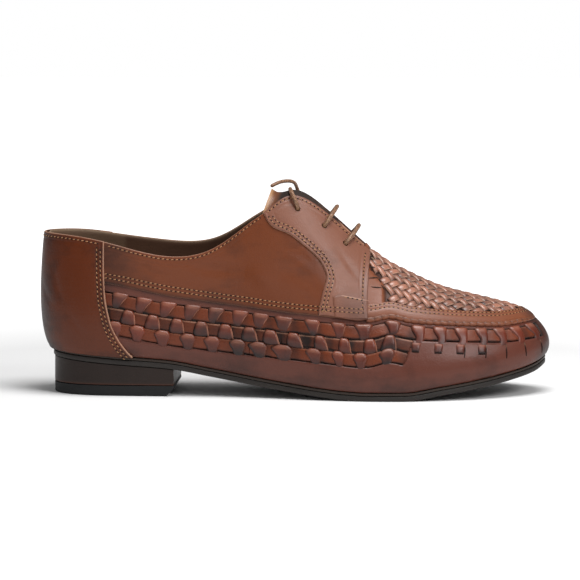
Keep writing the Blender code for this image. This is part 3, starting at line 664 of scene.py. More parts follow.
# Painted shade: the sunk band behind the tabs and strips, and a strip just under the seam where the quarter's edge
# shades it. The toe tip is burnished darker, and the leather darkens towards the sole.
side_dark = 1.2 * pit + 0.6 * smooth_step(14.2, 15.9, from_heel) + 0.3 * smooth_step(0.7, 1, down_share)
side_dark = side_dark + 0.55 * (1 - smooth_step(0.0, 2.2 * MM, side_depths))
woven_side = leather(
    "woven_side", colour="582d21", dark="1d0b06", tint_and_highlight="c39a80", mottle=1.8, grain=0.5, rough=0.25, sheen=0.3,
    shine=0.26
)
side_faces = [side_skin(side_field, side_depths, out) for out in (side_out, -0.9 * MM)]
side_mesh = sheet_mesh("vamp_side", *side_faces, {"dark": side_dark, "tint_and_highlight": 0.0})
add_piece(side_mesh, woven_side, ["upper"])

# The tabs and strips of the weave: each is a small crowned piece, its edges cut and paler.
SHAPE_STEPS = 11
across_grid, down_grid = np.meshgrid(np.linspace(-1, 1, SHAPE_STEPS), np.linspace(0, 1, SHAPE_STEPS))


def walk_places(first, last, step, shift):
    """Places a step apart along the wall, from first, shifted by a share of the step."""
    places, place = [], first + shift * step / float(side_width(first))
    while place < last:
        places.append(place)
        place += (step if place < WEAVE_END - 0.4 else TOE_PITCH) / float(side_width(place))
    return np.array(places)


def slant(place):
    """How far the seam rises for each metre along the wall."""
    rise = np.interp(place, TABLE_PLACES, SEAM_RISE) / (TABLE_PLACES[1] - TABLE_PLACES[0])
    return rise / side_width(place)


def add_patches(name, pieces, material):
    """One mesh of many small closed shells; each has outer points, inner points and its marks."""
    bm = bmesh.new()
    for outer, inner, marks in pieces:
        part = sheet_mesh(name, outer, inner, marks)
        bm.from_mesh(part)
        bpy.data.meshes.remove(part)
    mesh = bpy.data.meshes.new(name)
    bm.to_mesh(mesh)
    bm.free()
    mesh.shade_smooth()
    return add_piece(mesh, material)


def laid(side, places, depths, outs, shade, tint_and_highlight):
    """A small piece on either side of the shoe: its outer and inner points and its marks."""
    ring = places if side > 0 else RING_LENGTH - places
    order = (slice(None, None, -1), slice(None, None, side))
    outer, inner = (side_skin(ring, depths, out)[order] for out in outs)
    return outer, inner, {"dark": shade[order], "tint_and_highlight": tint_and_highlight[order]}


def tab(side, place, top, foot, half_widths, crown, lean, dark):
    """One tab: half widths and crown are tables down its length, in millimetres."""
    depth = top + (foot - top) * down_grid
    half = between(half_widths, down_grid) * MM
    shift = (depth - TAB_TOP) * slant(place) - lean * (half - half[:1])
    at = place + (across_grid * half + shift) / side_width(place)
    out = (between(crown, down_grid) - 1.15 * np.abs(across_grid) ** 5) * MM
    cut_edge = 0.5 if lean < 0.3 else 0.1
    tint_and_highlight = smooth_step(0.8, 1.0, across_grid) * smooth_step(0.1, 0.3, down_grid) * cut_edge
    # Painted highlight: a pale band near each tab's top, the wax gloss there, partly also rubbed paler leather.
    tint_and_highlight = tint_and_highlight + 0.22 * np.exp(-((down_grid - 0.14) / 0.12) ** 2) * (1 - np.abs(across_grid) ** 3)
    uneven = 0.35 * float(seeded_noise(int(place * 977) + side, 1)[0])
    # Painted shade: each tab darker towards its foot, where it goes under the next row, and along one side; uneven
    # is random tone.
    shade = dark + uneven + 0.6 * down_grid ** 2 + 0.6 * smooth_step(0.6, 1.0, -across_grid)
    return laid(side, at, depth + weave_drop(at), (out, np.minimum(out, 0) - 0.7 * MM), shade, tint_and_highlight)


def strip(side, last, middle, height, out, shift, dark, top_line):
    """A strip drawn through the tabs: it dips under each tab and swells between them."""
    count = int((last - COUNTER_PLACE) * float(side_width(COUNTER_PLACE)) / (0.9 * MM))
    run_places = np.linspace(COUNTER_PLACE, last, count)
    across, places = np.meshgrid([-1.0, -0.93, -0.7, -0.3, 0.3, 0.7, 0.93, 1.0], run_places, indexing="ij")
    run = np.concatenate([[0], np.cumsum(side_width(run_places[1:]) * np.diff(run_places))])
    tabs_from = np.interp(ROW_START, run_places, run)
    wave = np.cos(2 * math.pi * ((run - tabs_from) / WEAVE_PITCH - UPPER_SHIFT - shift))
    depth = (middle + across * height / 2) * MM
    level_out = (out - 0.28 * wave - 0.35 * np.abs(across) ** 6) * MM
    # Painted shade: the strip is darker where it dips under a tab and along its lower edge.
    shade = dark + 0.45 * np.clip(wave, 0, 1) + 0.6 * (across > 0.9)
    field = places + (depth - TAB_TOP) * slant(places) / side_width(places)
    tint_and_highlight = np.where(across < -0.9, top_line, 0.0)
    return laid(side, field, depth + weave_drop(field), (level_out, level_out - 0.5 * MM), shade, tint_and_highlight)


TAB_TOP = 2.6 * MM
ROW_START = 3.05
UPPER_SHIFT, MIDDLE_SHIFT, LOWER_SHIFT = 0.39, 0.42, -0.10
UPPER_TAB = dict(
    top=2.3 * MM, foot=12.4 * MM,
    half_widths=[(0, 5.2), (0.15, 4.8), (0.5, 3.5), (1, 2.5)],
    crown=[(0, 0.45), (0.14, 1.4), (0.35, 1.3), (0.75, 0.6), (1, -0.7)],
)
MIDDLE_TAB = dict(
    top=11.6 * MM, foot=20.6 * MM,
    half_widths=[(0, 2.4), (0.12, 3.1), (0.5, 4.1), (1, 4.9)],
    crown=[(0, 0.3), (0.12, 1.35), (0.5, 1.35), (0.85, 0.6), (1, -0.2)],
)
LOWER_TAB = dict(
    top=19.6 * MM, foot=29.4 * MM,
    half_widths=[(0, 2.6), (0.25, 4.9), (0.6, 3.6), (1, 2.6)],
    crown=[(0, 0.2), (0.15, 1.2), (0.4, 1.3), (0.8, 0.75), (1, 0.35)],
)
TOE_TAB = dict(
    top=2.3 * MM, foot=15.2 * MM,
    half_widths=[(0, 4.6), (0.3, 4.0), (0.65, 2.7), (1, 3.6)],
    crown=[(0, 0.45), (0.12, 1.15), (0.4, 1.2), (0.7, 0.75), (1, 0.3)],
)
WINDOW = dict(
    top=13.9 * MM, foot=19.6 * MM, half_widths=[(0, 3.5), (1, 3.2)], crown=[(0, 0.62), (0.5, 0.66), (1, 0.62)],
)
WINDOW_STRIP = dict(
    top=13.7 * MM, foot=18.7 * MM, half_widths=[(0, 3.1), (1, 2.8)], crown=[(0, 0.8), (0.5, 0.98), (1, 0.8)],
)
SLIT = dict(
    top=13.4 * MM, foot=21.5 * MM, half_widths=[(0, 0.5), (1, 0.45)], crown=[(0, 0.6), (0.5, 0.85), (1, 0.6)],
)
FIRST_SLIT, LAST_WINDOW, SLIT_AHEAD = 12.4, 13.4, 2.7 * MM
STRIPS_END = WEAVE_END + 0.17
# Each strip: its end, middle, height, how far out, shift, how dark, and its pale upper edge.
STRIPS = (
    (TOE_WEAVE_END, 7.6, 7.6, 0.15, 0, 0.1, 0.1),
    (STRIPS_END, 15.9, 7.3, -0.35, MIDDLE_SHIFT, 0.45, 0.35),
    (STRIPS_END, 24.1, 7.2, 0.1, LOWER_SHIFT, 0.05, 0.1),
)
tabs, strips, openings = [], [], []
for side in (1, -1):
    for place in walk_places(ROW_START, TOE_WEAVE_END, WEAVE_PITCH, UPPER_SHIFT):
        lean = float(np.clip((place - 8.5) / 3, -1, 1))
        style = UPPER_TAB if place < WEAVE_END else TOE_TAB
        tabs.append(tab(side, place, **style, lean=lean, dark=0.12))
        # The windows and slits at the toe are dark patches: painted shade in the openings.
        if WEAVE_END < place < LAST_WINDOW:
            openings.append(tab(side, place, **WINDOW, lean=0.0, dark=1.2))
            tabs.append(tab(side, place, **WINDOW_STRIP, lean=0.0, dark=0.2))
        if place > FIRST_SLIT:
            openings.append(tab(side, place + SLIT_AHEAD / float(side_width(place)), **SLIT, lean=0.0, dark=1.6))
    for place in walk_places(ROW_START, WEAVE_END, WEAVE_PITCH, UPPER_SHIFT + MIDDLE_SHIFT):
        tabs.append(tab(side, place, **MIDDLE_TAB, lean=0.0, dark=0.15))
    for place in walk_places(ROW_START, WEAVE_END - 0.1, WEAVE_PITCH, UPPER_SHIFT + LOWER_SHIFT):
        tabs.append(tab(side, place, **LOWER_TAB, lean=0.3 * lean, dark=0.15))
    strips += [strip(side, *row) for row in STRIPS]
tab_leather = leather(
    "woven_tabs", colour="682711", dark="1a0704", tint_and_highlight="c98f76", mottle=1.6, grain=0.4, rough=0.17, sheen=0.5,
    shine=0.3
)
strip_leather = leather(
    "woven_strips", colour="652d15", dark="180804", tint_and_highlight="c9957b", mottle=1.8, grain=0.8, rough=0.26, sheen=0.1,
    shine=0.24
)
add_patches("side_tabs", tabs, tab_leather)
add_patches("side_strips", strips, strip_leather)
add_patches("toe_openings", openings, strip_leather)

# Apron: its band and its ridge
# A band of smooth leather is sewn by hand to the sides in a raised ridge and goes round the toe.
# The woven plug is stitched under the band's inner edge with two rows of thread.
APRON_START = 10.06
BAND_WIDTH = 0.0098
BAND_EDGE = 1.2 * MM
BAND_PROFILE = [
    (-0.6, 0.3), (0.8, 1.0), (2.6, 1.3), (5.0, 1.35), (5.8, 1.15), (7.2, 1.3), (8.2, 1.15), (9.2, 1.25), (9.8, 0.6),
]
RIDGE_COUNT, RIDGE_AROUND = 1100, 15
RIDGE_RADIUS, RIDGE_LIE = 0.0016, 0.1 * MM
RIDGE_STITCH = 0.0044
apron_run = np.linspace(APRON_START, RING_LENGTH - APRON_START, 420)
band_rises = [-0.6, 0.0, 0.8, 1.6, 2.6, 3.8, 5.0, 5.8, 6.4, 7.2, 8.0, 8.6, 9.2, 9.6, 9.8]
band_rise, band_places = np.meshgrid(band_rises, apron_run, indexing="ij")
band_mesh = sheet_mesh(
    "apron_band",
    side_skin(band_places, -band_rise * MM, between(BAND_PROFILE, band_rise) * MM),
    side_skin(band_places, -band_rise * MM, -0.3 * MM),
    {"dark": 0.6 * smooth_step(14.6, 15.9, folded(band_places)), "tint_and_highlight": 0.5 * smooth_step(9.3, 9.8, band_rise)},
)
band_leather = leather(
    "apron_band", colour="733f26", dark="26110a", tint_and_highlight="c79a80", mottle=0.9, grain=0.35, rough=0.28, sheen=0.3
)
add_piece(band_mesh, band_leather)

ridge_places = np.linspace(APRON_START, RING_LENGTH - APRON_START, RIDGE_COUNT)
ridge_sunk = smooth_step(14.4, 15.8, folded(ridge_places))
ridge_line = side_skin(ridge_places, RIDGE_LIE, (0.85 - 0.75 * ridge_sunk) * MM)
ridge_normal = wall_normal(ridge_places, depth_level(ridge_places, RIDGE_LIE))
ridge_up = unit(np.cross(ridge_normal, unit(np.gradient(ridge_line, axis=0))))
pinch = np.abs(np.sin(math.pi * travelled(ridge_line) / RIDGE_STITCH)) ** 0.5
ridge_angle = np.linspace(0, 2 * math.pi, RIDGE_AROUND)[:, None]
two_lips = 0.8 + 0.2 * np.abs(np.sin(ridge_angle))
ridge_radius = RIDGE_RADIUS * (1 - 0.5 * ridge_sunk) * (0.72 + 0.28 * pinch) * two_lips
ridge_turn = np.cos(ridge_angle)[..., None] * ridge_normal + np.sin(ridge_angle)[..., None] * ridge_up
middle_dip = np.cos(ridge_angle) > 0.93
# Painted shade: darker in the pinches between the hand stitches and along the groove between the two lips; the toe
# end is burnished darker.
ridge_dark = 0.35 * (1 - pinch) + 0.5 * middle_dip + 0.2 * smooth_step(14.2, 15.9, folded(ridge_places))
ridge_points = ridge_line + ridge_radius[..., None] * ridge_turn
ridge_mesh = sheet_mesh("apron_ridge", ridge_points, marks={"dark": ridge_dark, "tint_and_highlight": 0.0})
add_piece(ridge_mesh, band_leather)

# Woven plug
# The top of the vamp: narrow strips of leather woven over and under on the slant, each float two
# strips long, over a plain backing; by the throat the backing shows and is slit.
PLUG_STRIP = 4.1 * MM
PLUG_STEP = 1.0 * MM


def crest(place, across, out=0.0):
    """The top of the vamp: across runs from -1 on the outer side to 1 on the inner side."""
    outer, inner = skin(place, 1.0, out), skin(-place, 1.0, out)
    _, _, high, edge, _ = rails(place)
    level_run = np.maximum(np.linalg.norm((high - edge)[..., :2], axis=-1), 1e-6)
    slope = (edge - high)[..., 2] / level_run
    crown = np.linalg.norm(inner - outer, axis=-1) / 4 * slope
    lift = np.stack([np.zeros_like(crown), np.zeros_like(crown), crown * (1 - across ** 2)], -1)
    return outer + (inner - outer) * ((across + 1) / 2)[..., None] + lift


def backing_mesh():
    """The whole top inside the ridge, as one open sheet: two walls and the crest between them."""
    places = np.linspace(THROAT, TOE, 160)
    walls_in = np.linspace(0, 1, 24)[:, None]
    base = seam_level(places)[None]
    outer_wall = wall(places[None] + 0 * walls_in, base + (1 - base) * walls_in)
    inner_base = seam_level(-places)[None]
    inner_wall = wall(-places[None] + 0 * walls_in, inner_base + (1 - inner_base) * walls_in)
    acrosses = np.linspace(-1, 1, 30)[:, None]
    middle = crest(places[None] + 0 * acrosses, acrosses + 0 * places[None])
    return np.concatenate([outer_wall, middle[1:-1], inner_wall[::-1]])


backing = backing_mesh()
backing_bm = bmesh.new()
grid_verts = bmesh.ops.create_grid(
    backing_bm, x_segments=backing.shape[1] - 1, y_segments=backing.shape[0] - 1, size=1
)["verts"]
for vertex, point in zip(grid_verts, backing.reshape(-1, 3)):
    vertex.co = point
backing_tree = BVHTree.FromBMesh(backing_bm)
backing_bm.free()

# Lines across the top at even steps along it, by rays from above.
plug_xs = np.arange(backing[..., 0].min() + 1 * MM, backing[..., 0].max(), PLUG_STEP)
plug_ys = np.arange(-0.048, 0.05, 0.5 * MM)
top_map = np.full((len(plug_xs), len(plug_ys)), np.nan)
for i, x in enumerate(plug_xs):
    for j, y in enumerate(plug_ys):
        hit = backing_tree.ray_cast(Vector((x, y, 0.2)), Vector((0, 0, -1)))[0]
        if hit is not None:
            top_map[i, j] = hit.z
middle_line = np.array([
    (plug_ys[np.isfinite(line)].min() + plug_ys[np.isfinite(line)].max()) / 2 if np.isfinite(line).any() else 0
    for line in top_map
])
across_tables = []
for line, middle in zip(top_map, middle_line):
    good = np.isfinite(line)
    ys, zs = plug_ys[good], line[good]
    run = travelled(np.column_stack([ys, zs]))
    across_tables.append((run - np.interp(middle, ys, run), ys, zs))
middle_zs = np.array([np.interp(m, ys, zs) for m, (_, ys, zs) in zip(middle_line, across_tables)])
plug_run = travelled(np.column_stack([plug_xs, middle_zs]))
ACROSS_STEP = 0.5 * MM
ACROSS_RUN = np.arange(-0.07, 0.0705, ACROSS_STEP)
ACROSS_Y = np.array([np.interp(ACROSS_RUN, run, ys) for run, ys, _ in across_tables])
ACROSS_Z = np.array([np.interp(ACROSS_RUN, run, zs) for run, _, zs in across_tables])


def plug_surface(along, across):
    """Points of the top by distances: along from the throat, across from its middle."""
    row = np.interp(along, plug_run, np.arange(len(plug_run)))
    column = np.clip((across - ACROSS_RUN[0]) / ACROSS_STEP, 0, len(ACROSS_RUN) - 1.001)
    x = np.interp(row, np.arange(len(plug_xs)), plug_xs) + 0 * column
    return np.stack([x, table_value(ACROSS_Y, row, column), table_value(ACROSS_Z, row, column)], -1)


def plug_skin(along, across, out):
    near = 0.8 * MM
    forward = plug_surface(along + near, across) - plug_surface(along - near, across)
    sideways = plug_surface(along, across + near) - plug_surface(along, across - near)
    return plug_surface(along, across) + unit(np.cross(forward, sideways)) * np.asarray(out)[..., None]


band_edge = side_skin(apron_run, -(BAND_WIDTH - BAND_EDGE), 0.0)


def inside_band(points):
    """How far inside the band's inner edge each point lies."""
    gap = np.linalg.norm(points[..., None, :2] - band_edge[:, :2], axis=-1)
    nearest = gap.argmin(-1)
    centre = np.array((band_edge[:, 0].mean() - 0.004, band_edge[:, 1].mean()))
    towards = centre - band_edge[nearest][..., :2]
    side = ((points[..., :2] - band_edge[nearest][..., :2]) * towards).sum(-1)
    return np.where(side > 0, gap.min(-1), -gap.min(-1))


FLOAT_ALONG, FLOAT_ACROSS = 9, 7
float_v, float_u = np.meshgrid(np.linspace(-1, 1, FLOAT_ALONG), np.linspace(-1, 1, FLOAT_ACROSS), indexing="ij")
SMOOTH_THROAT = 5 * MM


def from_throat(points):
    """How far in front of the throat each point lies."""
    return np.linalg.norm(points[..., None, :] - backing[:, 0], axis=-1).min(-1)


def smooth_reach(room):
    """How far the leather stays smooth in front of the throat; further down the sides than on top."""
    return (3.5 + 9.0 * (1 - smooth_step(9 * MM, 17 * MM, room))) * MM


def plug_float(p, q, slope, number):
    """One float: a crowned strip two strips long whose ends dip under its neighbours."""
    length, width = PLUG_STRIP * 1.08, PLUG_STRIP * 0.46
    along = p + (float_v * length + float_u * width * slope) / math.sqrt(2)
    across = q + (slope * float_v * length - float_u * width) / math.sqrt(2)
    lift = 0.95 * np.cos(float_v * math.pi / 2) ** 0.7 - 0.6 * np.abs(float_u) ** 3 - 0.15
    points = plug_surface(along, across)
    room = inside_band(points)
    lift = lift - 1.3 * (1 - smooth_step(-1.5 * MM, 0.5 * MM, room))
    # Painted shade: each float darker towards its ends, where they dip under the neighbours; the rest is random
    # tone.
    shade = 0.9 * np.abs(float_v) ** 3 + 0.45 * float(seeded_noise(number, 1)[0])
    tint_and_highlight = 0.6 * smooth_step(0.75, 1, np.abs(float_u)) * (float_u * slope > 0)
    order = slice(None) if slope > 0 else slice(None, None, -1)
    outer = plug_skin(along, across, lift * MM)[:, order]
    inner = plug_skin(along, across, (np.minimum(lift, 0) - 0.6) * MM)[:, order]
    facing = np.cross(outer[0, -1] - outer[0, 0], outer[-1, 0] - outer[0, 0])[2]
    if facing < 0:
        outer, inner, shade, tint_and_highlight = outer[:, ::-1], inner[:, ::-1], shade[:, ::-1], tint_and_highlight[:, ::-1]
    return outer, inner, {"dark": shade, "tint_and_highlight": tint_and_highlight * 0.8}


floats = []
PLUG_CELLS = range(-26, 26)
for i in PLUG_CELLS:
    for j in PLUG_CELLS:
        turn = (i - j) % 4
        if turn not in (0, 3):
            continue
        slope = 1 if turn == 0 else -1
        a, b = (i + 1.0, j + 0.5) if slope > 0 else (i + 0.5, j + 1.0)
        p = (a + b) * PLUG_STRIP / math.sqrt(2) + 30 * MM
        q = (a - b) * PLUG_STRIP / math.sqrt(2)
        if not SMOOTH_THROAT < p < plug_run[-1] - 8 * MM:
            continue
        middle = plug_surface(np.array([p]), np.array([q]))
        room = float(inside_band(middle)[0])
        if room > 0.5 * MM and float(from_throat(middle)[0]) > float(smooth_reach(room)) + 2 * MM:
            floats.append(plug_float(p, q, slope, len(floats)))
plug_leather = leather(
    "plug_strips", colour="a06a55", dark="2c120b", tint_and_highlight="cfab94", mottle=1.2, grain=0.35, rough=0.2, sheen=1.2
)
add_patches("plug_weave", floats, plug_leather)
# Each slit: how far along and across, its turn and half its length, in millimetres.
SLITS = [
    (28.6, -11.0, -0.6, 1.8), (29.8, -18.5, -0.6, 2.6), (31.4, -25.5, -0.55, 3.4), (33.6, -31.0, -0.5, 3.4),
    (36.0, -24.8, 0.8, 1.6), (38.4, -28.6, 0.8, 1.8),
]
SLIT_OUT, SLIT_WIDE, SLIT_HIGH = 0.6 * MM, 0.42 * MM, 0.2 * MM
slit_matrices = []
for side in (1, -1):
    for along, across, turn, half in SLITS:
        spots = (np.array([(0, 0), (1, 0), (0, 1)]) + (along, side * across)) * MM
        at, ahead, aside = plug_skin(*spots.T, np.full(len(spots), SLIT_OUT))
        forward, sideways = unit(ahead - at), unit(aside - at)
        run = unit(forward * math.cos(turn) - side * sideways * math.sin(turn))
        normal = unit(np.cross(forward, sideways))
        lie_of_slit = Matrix((run, np.cross(normal, run), normal)).transposed().to_4x4()
        size = Matrix.Diagonal((half * MM, SLIT_WIDE, SLIT_HIGH, 1))
        slit_matrices.append(Matrix.Translation(Vector(at)) @ lie_of_slit @ size)

BACKING_OUT, BACKING_DEPTH = 0.5 * MM, 1.35 * MM
plug_outer = backing[3:-3]
plug_normal = unit(np.cross(np.gradient(plug_outer, axis=1), np.gradient(plug_outer, axis=0)))
beyond_smooth = from_throat(plug_outer) - smooth_reach(inside_band(plug_outer))
woven_here = smooth_step(-1 * MM, 1 * MM, beyond_smooth)
backing_out = (BACKING_OUT - BACKING_DEPTH * woven_here)[..., None]
backing_faces = [plug_outer + plug_normal * out for out in (backing_out, -WALL)]
# Painted shade: the backing is dark where the floats lie over it, showing in the gaps between them.
backing_piece = sheet_mesh("plug_backing", *backing_faces, {"dark": 0.95 * woven_here, "tint_and_highlight": 0.0})
add_piece(backing_piece, band_leather)

# Smooth panels: quarters, facings and counter
# The quarters are sewn on top of the woven sides, the facings on top of the quarters, and the
# counter over both at the back. Each is one cut of leather with a pared edge and two rows of
# stitches; the eyelets are plain punched holes.
FACING_BACK = [(0, 8.56), (.45, 8.58), (.56, 8.80), (.67, 9.02), (.72, 8.88), (.78, 8.08), (.89, 7.00), (1, 6.60)]
COUNTER_FRONT = [(0, 3.40), (.10, 3.27), (.24, 3.11), (.40, 2.98), (.60, 2.89), (1, 2.87)]
EDGE_STEPS = np.array([0, 0.12, 0.3, 0.6, 1.0, 1.5, 2.1, 2.7, 3.3, 3.9, 4.5, 5.2]) * MM
ROUND = 0.5 * MM
FOOT_ROWS = (3.2, 5.5)
BACK_ROWS = (1.9, 4.0)


def edge_fall(distance, thickness, rows):
    """How far the surface falls towards a pared, rounded edge, and into its rows of stitches."""
    near = np.clip(1 - distance / ROUND, 0, 1)
    fall = thickness * 0.85 * (1 - np.sqrt(np.maximum(1 - near ** 2, 0)))
    for row in rows:
        fall = fall + 0.13 * MM * np.exp(-((distance / MM - row) / 0.45) ** 2)
    return fall


# Soft creases: place and level of both ends, half width and depth in millimetres; a ridge has a
# negative depth.
Crease = namedtuple("Crease", "place level to_place to_level half_width depth")
CREASES = [
    Crease(7.3, .66, 8.75, .58, 2.2, .40), Crease(7.6, .74, 8.6, .70, 1.8, .30),
    Crease(7.9, .55, 8.6, .50, 2.0, .25), Crease(8.3, .80, 9.3, .74, 2.2, .30),
    Crease(4.6, .93, 5.4, .80, 3.0, .35), Crease(5.0, .88, 5.9, .72, 2.6, .30),
    Crease(3.4, .90, 4.1, .84, 2.4, .25), Crease(6.1, .72, 6.9, .62, 2.8, -.30),
    Crease(0.7, .62, 1.3, .48, 2.4, .35), Crease(1.4, .74, 1.7, .52, 2.2, .30),
    Crease(2.0, .42, 2.3, .24, 2.4, .25), Crease(0.4, .36, 1.2, .28, 2.2, .25),
    Crease(9.4, .82, 9.9, .74, 2.0, .30), Crease(9.3, .62, 9.85, .66, 2.4, .25),
]
LEVEL_HEIGHT = 0.075


def creases(place, level):
    place = folded(place)
    width = side_width(place)
    total = np.zeros(np.shape(place))
    for crease in CREASES:
        across = (crease.to_place - crease.place) * width
        up = (crease.to_level - crease.level) * LEVEL_HEIGHT
        x = (place - crease.place) * width
        y = (level - crease.level) * LEVEL_HEIGHT
        share = np.clip((x * across + y * up) / (across ** 2 + up ** 2), 0, 1)
        gap = np.hypot(x - share * across, y - share * up) / (crease.half_width * MM)
        fade = 0.35 + 0.65 * np.sin(math.pi * np.clip(share, 0.02, 0.98))
        total = total + 1.5 * crease.depth * MM * fade * np.exp(-gap ** 2)
    return total


def both_sides(name, side, places, levels, outs, marks):
    """A closed sheet on one side of the shoe, from its outer and inner distances off the last."""
    order = (slice(None), slice(None, None, side))
    marks = {key: np.broadcast_to(value, places.shape)[order] for key, value in marks.items()}
    outer, inner = (skin(side * places, levels, out)[order] for out in outs)
    return sheet_mesh(name, outer, inner, marks)


def panel(name, side, places, levels, distance, outs, rows, marks, material, replaced):
    """A panel from arrays of places and levels, with its distance from the nearest free edge."""
    outer_out, inner_out = outs
    out = outer_out - edge_fall(distance, outer_out - inner_out, rows) - creases(places, levels)
    mesh = both_sides(name, side, places, levels, (out, inner_out), marks)
    return add_piece(mesh, material, replaced)


def wall_run(ring_place):
    """Distances up the wall at the fine levels, for each of several places."""
    where = np.mod(ring_place, RING_LENGTH) / RING_LENGTH * (len(TABLE_PLACES) - 1)
    i = np.minimum(where.astype(int), len(TABLE_PLACES) - 2)
    t = (where - i)[:, None]
    return heights_up[i] * (1 - t) + heights_up[i + 1] * t


def column_levels(ring_places, low_levels, step_count=26):
    """For each place the levels from a lower edge to the topline, with fine steps at both."""
    levels, distances = [], []
    for up, low in zip(wall_run(ring_places), low_levels):
        base = np.interp(low, fine_levels, up)
        span = up[-1] - base
        middle = np.linspace(EDGE_STEPS[-1], span - EDGE_STEPS[-1], step_count)
        run = np.concatenate([EDGE_STEPS[:-1], middle, span - EDGE_STEPS[-2::-1]])
        levels.append(np.interp(base + run, up, fine_levels))
        distances.append(run)
    return np.array(levels).T, np.array(distances).T


quarter_leather = leather(
    "quarter_leather", colour="612e12", dark="270f05", tint_and_highlight="c79a80", mottle=1.7, grain=0.4, rough=0.26, sheen=0.3,
    shine=0.24
)
facing_leather = leather(
    "facing_leather", colour="754a39", dark="391c12", tint_and_highlight="c9a088", mottle=1.4, grain=0.35, rough=0.25, sheen=0.4
)
counter_leather = leather(
    "counter_leather", colour="542206", dark="1c0802", tint_and_highlight="c79a80", mottle=2.3, grain=0.5, rough=0.24, sheen=0.25,
    shine=0.24
)
QUARTER_FIRST, QUARTER_LAST = 2.55, THROAT + 0.06
FACING_LAST, FACING_MIDDLE = THROAT + 0.08, 9.6
FACING_HEIGHT = 0.085
OVER = 0.02 * MM
laced_pieces = []
for side, word in ((1, "outer"), (-1, "inner")):
    one_side = np.linspace(QUARTER_FIRST, QUARTER_LAST, 230)
    levels, runs = column_levels(side * one_side, seam_level(side * one_side))
    places = np.broadcast_to(one_side, levels.shape)
    front = (one_side[-1] - places) * side_width(places)
    below_top = runs[-1:] - runs
    dark = 0.45 * (1 - smooth_step(2.85, 4.3, places)) + 0.5 * np.exp(-(runs / (1.2 * MM)) ** 2)
    dark = dark + 0.25 * smooth_step(0.55, 0.2, levels) + 0.18 * (1 - smooth_step(0, 9 * MM, runs))
    tint_and_highlight = 0.3 * (1 - smooth_step(0, 0.35 * MM, runs)) + 0.55 * smooth_step(-0.75 * MM, 0, -below_top)
    laced_pieces.append(panel(
        "side_panel_" + word, side, places, levels, np.minimum(np.minimum(runs, below_top), front),
        (QUARTER_OUT, OVER), FOOT_ROWS, {"dark": dark, "tint_and_highlight": tint_and_highlight},
        quarter_leather, ["quarter_" + word],
    ))
    share = np.linspace(0, 1, 60)[None]
    base_places = side * np.full(2, FACING_MIDDLE)
    base_levels = column_levels(base_places, seam_level(base_places), 40)[0][:, :1]
    level_share = (base_levels - base_levels[0]) / (1 - base_levels[0])
    back_guess = between(FACING_BACK, 0.45 + 0.55 * level_share)
    low_here = seam_level(side * (back_guess + (FACING_LAST - back_guess) * share))
    levels = low_here + (1 - low_here) * level_share
    back = between(FACING_BACK, levels)
    eased = share - 0.5 * np.sin(2 * math.pi * share) / (2 * math.pi)
    places = back + (FACING_LAST - back) * eased
    steep = np.abs(np.gradient(back_guess[:, 0])) / np.gradient(level_share[:, 0])
    behind = (places - back) * side_width(places) / np.sqrt(1 + (steep[:, None] * 0.18) ** 2)
    ahead = (FACING_LAST - places) * side_width(places)
    up, down = (1 - levels) * FACING_HEIGHT, (levels - low_here) * FACING_HEIGHT
    dark = 0.2 * smooth_step(9.0, 9.9, places) * (1 - smooth_step(0.62, 0.9, levels))
    dark = dark + 0.1 * np.exp(-(behind / (1.5 * MM)) ** 2)
    # Painted shade: the top edge is darker, much more on the inner facing, which is seen in shadow; the edge is also
    # dyed dark.
    dark = dark + (1.0 if side < 0 else 0.3) * (1 - smooth_step(0.2 * MM, 0.8 * MM, up))
    laced_pieces.append(panel(
        "eyelet_panel_" + word, side, places, levels,
        np.minimum(np.minimum(behind, ahead), np.minimum(up, down)), (FACING_OUT, QUARTER_OUT + OVER), BACK_ROWS,
        {"dark": dark, "tint_and_highlight": 0.4 * (1 - smooth_step(0, 0.3 * MM, behind))},
        facing_leather, ["facing_" + word],
    ))

COUNTER_THICKNESS, COUNTER_FOOT, COUNTER_CREASES = 1.2 * MM, 0.02, 0.55
share = np.linspace(-1, 1, 150)
levels, runs = (grid[:, :1] + 0 * share for grid in column_levels(np.zeros(2), np.full(2, COUNTER_FOOT), 44))
reach = between(COUNTER_FRONT, levels)
places = reach * np.sign(share) * (1 - (1 - np.abs(share)) ** 1.25)
front, below_top = (reach - np.abs(places)) * side_width(places), runs[-1:] - runs
to_edge = np.minimum(np.minimum(front, below_top), runs + 2 * MM)
dark = 0.7 * (1 - smooth_step(0.3, 2.1, np.abs(places))) + 0.25 * (1 - smooth_step(0, 0.2, levels))
dark = dark + 0.2 * (1 - smooth_step(0, 7 * MM, front))
raw_front = 0.75 * (1 - smooth_step(0.05 * MM, 0.5 * MM, front))
raw_top = 0.55 * (1 - smooth_step(0, 0.75 * MM, below_top))
out = FACING_OUT - edge_fall(to_edge, COUNTER_THICKNESS, BACK_ROWS) - COUNTER_CREASES * creases(places, levels)
under = np.where(levels < 0.6, OVER, QUARTER_OUT + OVER)
marks = {"dark": dark, "tint_and_highlight": np.maximum(raw_front, raw_top)}
counter_mesh = both_sides("heel_counter", 1, places, levels, (out, under), marks)
add_piece(counter_mesh, counter_leather, ["counter"])

